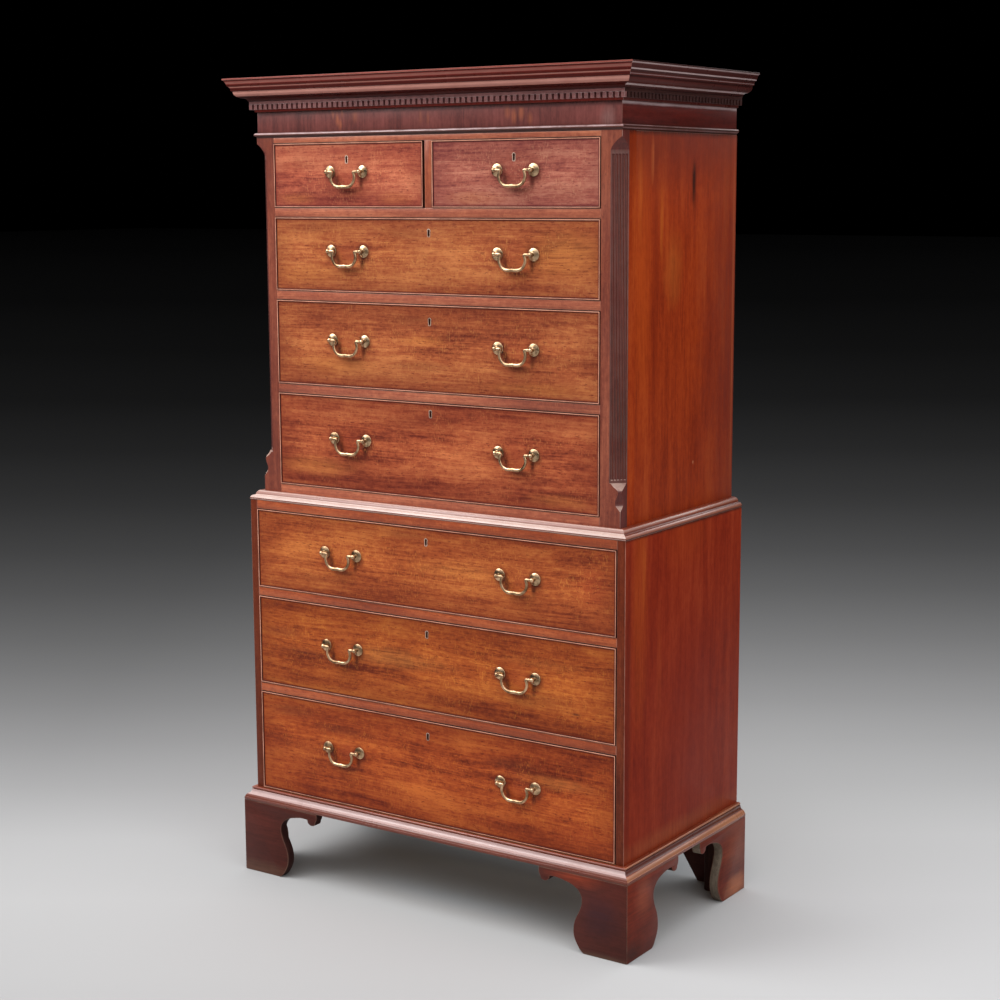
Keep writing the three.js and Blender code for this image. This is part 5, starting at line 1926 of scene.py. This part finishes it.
def overhead_sky(strength):
    """Soft light from overhead that fades to dark towards the horizon."""
    world = bpy.data.worlds.new("overhead sky")
    world.use_nodes = True
    tree = world.node_tree
    tree.nodes.clear()
    heading = put(tree, "ShaderNodeTexCoord").outputs["Generated"]
    height = put(tree, "ShaderNodeSeparateXYZ", {"Vector": heading}).outputs["Z"]
    power = maths(tree, "MULTIPLY", spread(tree, height, 0.13, 0.75), strength)
    sky = put(tree, "ShaderNodeBackground", {"Color": (0.98, 0.98, 1.0, 1), "Strength": power})
    put(tree, "ShaderNodeOutputWorld", {"Surface": sky.outputs[0]})
    return world


# Size of each soft light, its place and the point it looks at
LIGHTS = {
    "key": (3.0, (-2.7, -2.1, 3.9), (0, -0.2, 0.8)),
    "top": (4.4, (-0.5, -1.1, 4.6), (0, -0.4, 0.8)),
    "fill": (2.6, (3.8, -1.6, 2.6), (0.3, 0, 0.9)),
    "rear": (1.8, (0.6, 3.4, 3.2), (0.2, 0, 1.0)),
}
CAMERA_PLACE = Vector((2.4781, -3.6151, 1.6271))
CAMERA_YAW = 0.5948
CAMERA_PITCH = -0.1604
CAMERA_ROLL = -0.0041
CAMERA_LEVEL = Vector((math.cos(CAMERA_YAW), math.sin(CAMERA_YAW), 0))
CAMERA_HEADING = Vector((-math.sin(CAMERA_YAW), math.cos(CAMERA_YAW), 0))
FLOOR_HALF = 60.0
# Painted fall-off of the light on the paper: how pale it is at distances from the chest into the view, in
# metres, and where it is quite dark
FLOOR_FADE = [
    (-1.0, 0.77), (-0.3, 0.9), (0.2, 0.85), (0.6, 0.66), (1.1, 0.49), (1.7, 0.34), (2.3, 0.247), (3.2, 0.162),
    (4.25, 0.107), (5.7, 0.064), (7.7, 0.037), (10.6, 0.0193), (15.4, 0.0115), (24.5, 0.0065), (50.0, 0.0032),
]
FLOOR_FAR = 110.0
# Painted light across the view: from, to and the shares of the paper's colour there
FLOOR_TILTS = ((-1.3, 0.9, 0.76, 1.08), (-5.0, -1.6, 1.15, 1.0), (1.2, 4.0, 1.0, 0.84))
# Painted shadow under and behind the chest, and a painted cooler tone in the shade before it: centre, half
# size and shares of the paper's colour
FLOOR_PAINTED_SHADE = (
    ((-0.08, 0.32, 0), (0.55, 0.3, 1), (0.51, 0.55, 0.575)),
    ((0.02, -0.07, 0), (0.4, 0.13, 1), (0.94, 1.0, 1.05)),
)


def floor_finish(rgb):
    """Matt pale paper with painted light: it falls away into the dark behind the chest, with painted shade
    under the chest.
    """
    material, tree, place = new_finish("floor paper")
    nearest, brightest = FLOOR_FADE[0]
    depth = vectors(tree, "DOT_PRODUCT", place, CAMERA_HEADING)
    ramp = put(tree, "ShaderNodeValToRGB", {"Fac": spread(tree, depth, nearest, FLOOR_FAR)})
    ramp.color_ramp.elements[0].color = opaque(brightest * value for value in rgb)
    ramp.color_ramp.elements[1].color = (0.0, 0.0, 0.0, 1.0)
    for away, share in FLOOR_FADE[1:]:
        position = (away - nearest) / (FLOOR_FAR - nearest)
        ramp.color_ramp.elements.new(position).color = opaque(share * value for value in rgb)
    across = vectors(tree, "DOT_PRODUCT", place, CAMERA_LEVEL)
    near, far_left, far_right = (spread(tree, across, *levels) for levels in FLOOR_TILTS)
    tilt = maths(tree, "MULTIPLY", near, maths(tree, "MULTIPLY", far_left, far_right))
    sideways = put(tree, "ShaderNodeCombineColor", {"Red": tilt, "Green": tilt, "Blue": tilt}).outputs[0]
    base = mix(tree, 1.0, ramp.outputs["Color"], sideways, blend="MULTIPLY")
    # Painted shade under the chest
    for centre, half, shares in FLOOR_PAINTED_SHADE:
        parts = vectors(tree, "DIVIDE", vectors(tree, "SUBTRACT", place, centre), half)
        mask = spread(tree, vectors(tree, "LENGTH", parts), 1.2, 0.5, smooth=True)
        base = mix(tree, mask, base, opaque(value * share for value, share in zip(rgb, shares)))
    end_finish(tree, {"Base Color": base, "Roughness": 1.0, "Specular IOR Level": 0.0})
    return material


def add_light(name, power, size, place, target):
    """A soft square light that looks at a target."""
    light = bpy.data.lights.new(name, "AREA")
    light.energy = power
    light.size = size
    lamp = bpy.data.objects.new(name, light)
    lamp.location = place
    lamp.rotation_euler = (Vector(target) - Vector(place)).to_track_quat("-Z", "Y").to_euler()
    bpy.context.scene.collection.objects.link(lamp)


def add_camera(context, lens):
    """The camera at the place and angle solved from the photograph."""
    data = bpy.data.cameras.new("camera")
    data.lens = lens
    data.sensor_width = 36
    camera = bpy.data.objects.new("camera", data)
    ahead = CAMERA_HEADING * math.cos(CAMERA_PITCH) + Vector((0, 0, math.sin(CAMERA_PITCH)))
    upwards = CAMERA_LEVEL.cross(ahead)
    right = math.cos(CAMERA_ROLL) * CAMERA_LEVEL + math.sin(CAMERA_ROLL) * upwards
    top = math.cos(CAMERA_ROLL) * upwards - math.sin(CAMERA_ROLL) * CAMERA_LEVEL
    turn = Matrix((right, top, -ahead)).transposed().to_4x4()
    camera.matrix_world = Matrix.Translation(CAMERA_PLACE) @ turn
    context.scene.collection.objects.link(camera)
    context.scene.camera = camera


class CHEST_PT_pieces(bpy.types.Panel):
    """Lists the pieces of the chest"""

    bl_idname = "CHEST_PT_pieces"
    bl_label = "Chest on Chest"
    bl_space_type = "VIEW_3D"
    bl_region_type = "UI"
    bl_category = "Chest"

    def draw(self, context):
        for operator in OPERATORS:
            self.layout.operator(operator.bl_idname)
        for name, group in SETTINGS.items():
            box = self.layout.box()
            for prop in group.__annotations__:
                box.prop(getattr(context.scene, name), prop)


SETTINGS = {
    "chest_joinery": ChestJoinery,
    "chest_posts": ChestPosts,
    "chest_brasses": ChestBrasses,
    "chest_finishes": ChestFinishes,
    "chest_stage": ChestStage,
}
OPERATORS = (
    CHEST_OT_stage,
    CHEST_OT_feet,
    CHEST_OT_base_moulding,
    CHEST_OT_lower_case,
    CHEST_OT_waist_moulding,
    CHEST_OT_upper_case,
    CHEST_OT_corner_posts,
    CHEST_OT_frieze,
    CHEST_OT_dentils,
    CHEST_OT_cornice,
    CHEST_OT_drawer_fronts,
    CHEST_OT_drawer_boxes,
    CHEST_OT_locks,
    CHEST_OT_handle_posts,
    CHEST_OT_bails,
)


def register():
    """Makes the sizes, operators and panel known."""
    for cls in (*SETTINGS.values(), *OPERATORS, CHEST_PT_pieces):
        bpy.utils.register_class(cls)
    for name, group in SETTINGS.items():
        setattr(bpy.types.Scene, name, PointerProperty(type=group))


def unregister():
    """Takes them away again."""
    for name in SETTINGS:
        delattr(bpy.types.Scene, name)
    for cls in reversed((*SETTINGS.values(), *OPERATORS, CHEST_PT_pieces)):
        bpy.utils.unregister_class(cls)


def main():
    """Builds the stage and every piece."""
    register()
    bpy.ops.chest.stage()
    bpy.ops.chest.feet()
    bpy.ops.chest.base_moulding()
    bpy.ops.chest.lower_case()
    bpy.ops.chest.waist_moulding()
    bpy.ops.chest.upper_case()
    bpy.ops.chest.corner_posts()
    bpy.ops.chest.frieze()
    bpy.ops.chest.dentils()
    bpy.ops.chest.cornice()
    bpy.ops.chest.drawer_fronts()
    bpy.ops.chest.drawer_boxes()
    bpy.ops.chest.locks()
    bpy.ops.chest.handle_posts()
    bpy.ops.chest.bails()


if __name__ == "__main__":
    main()
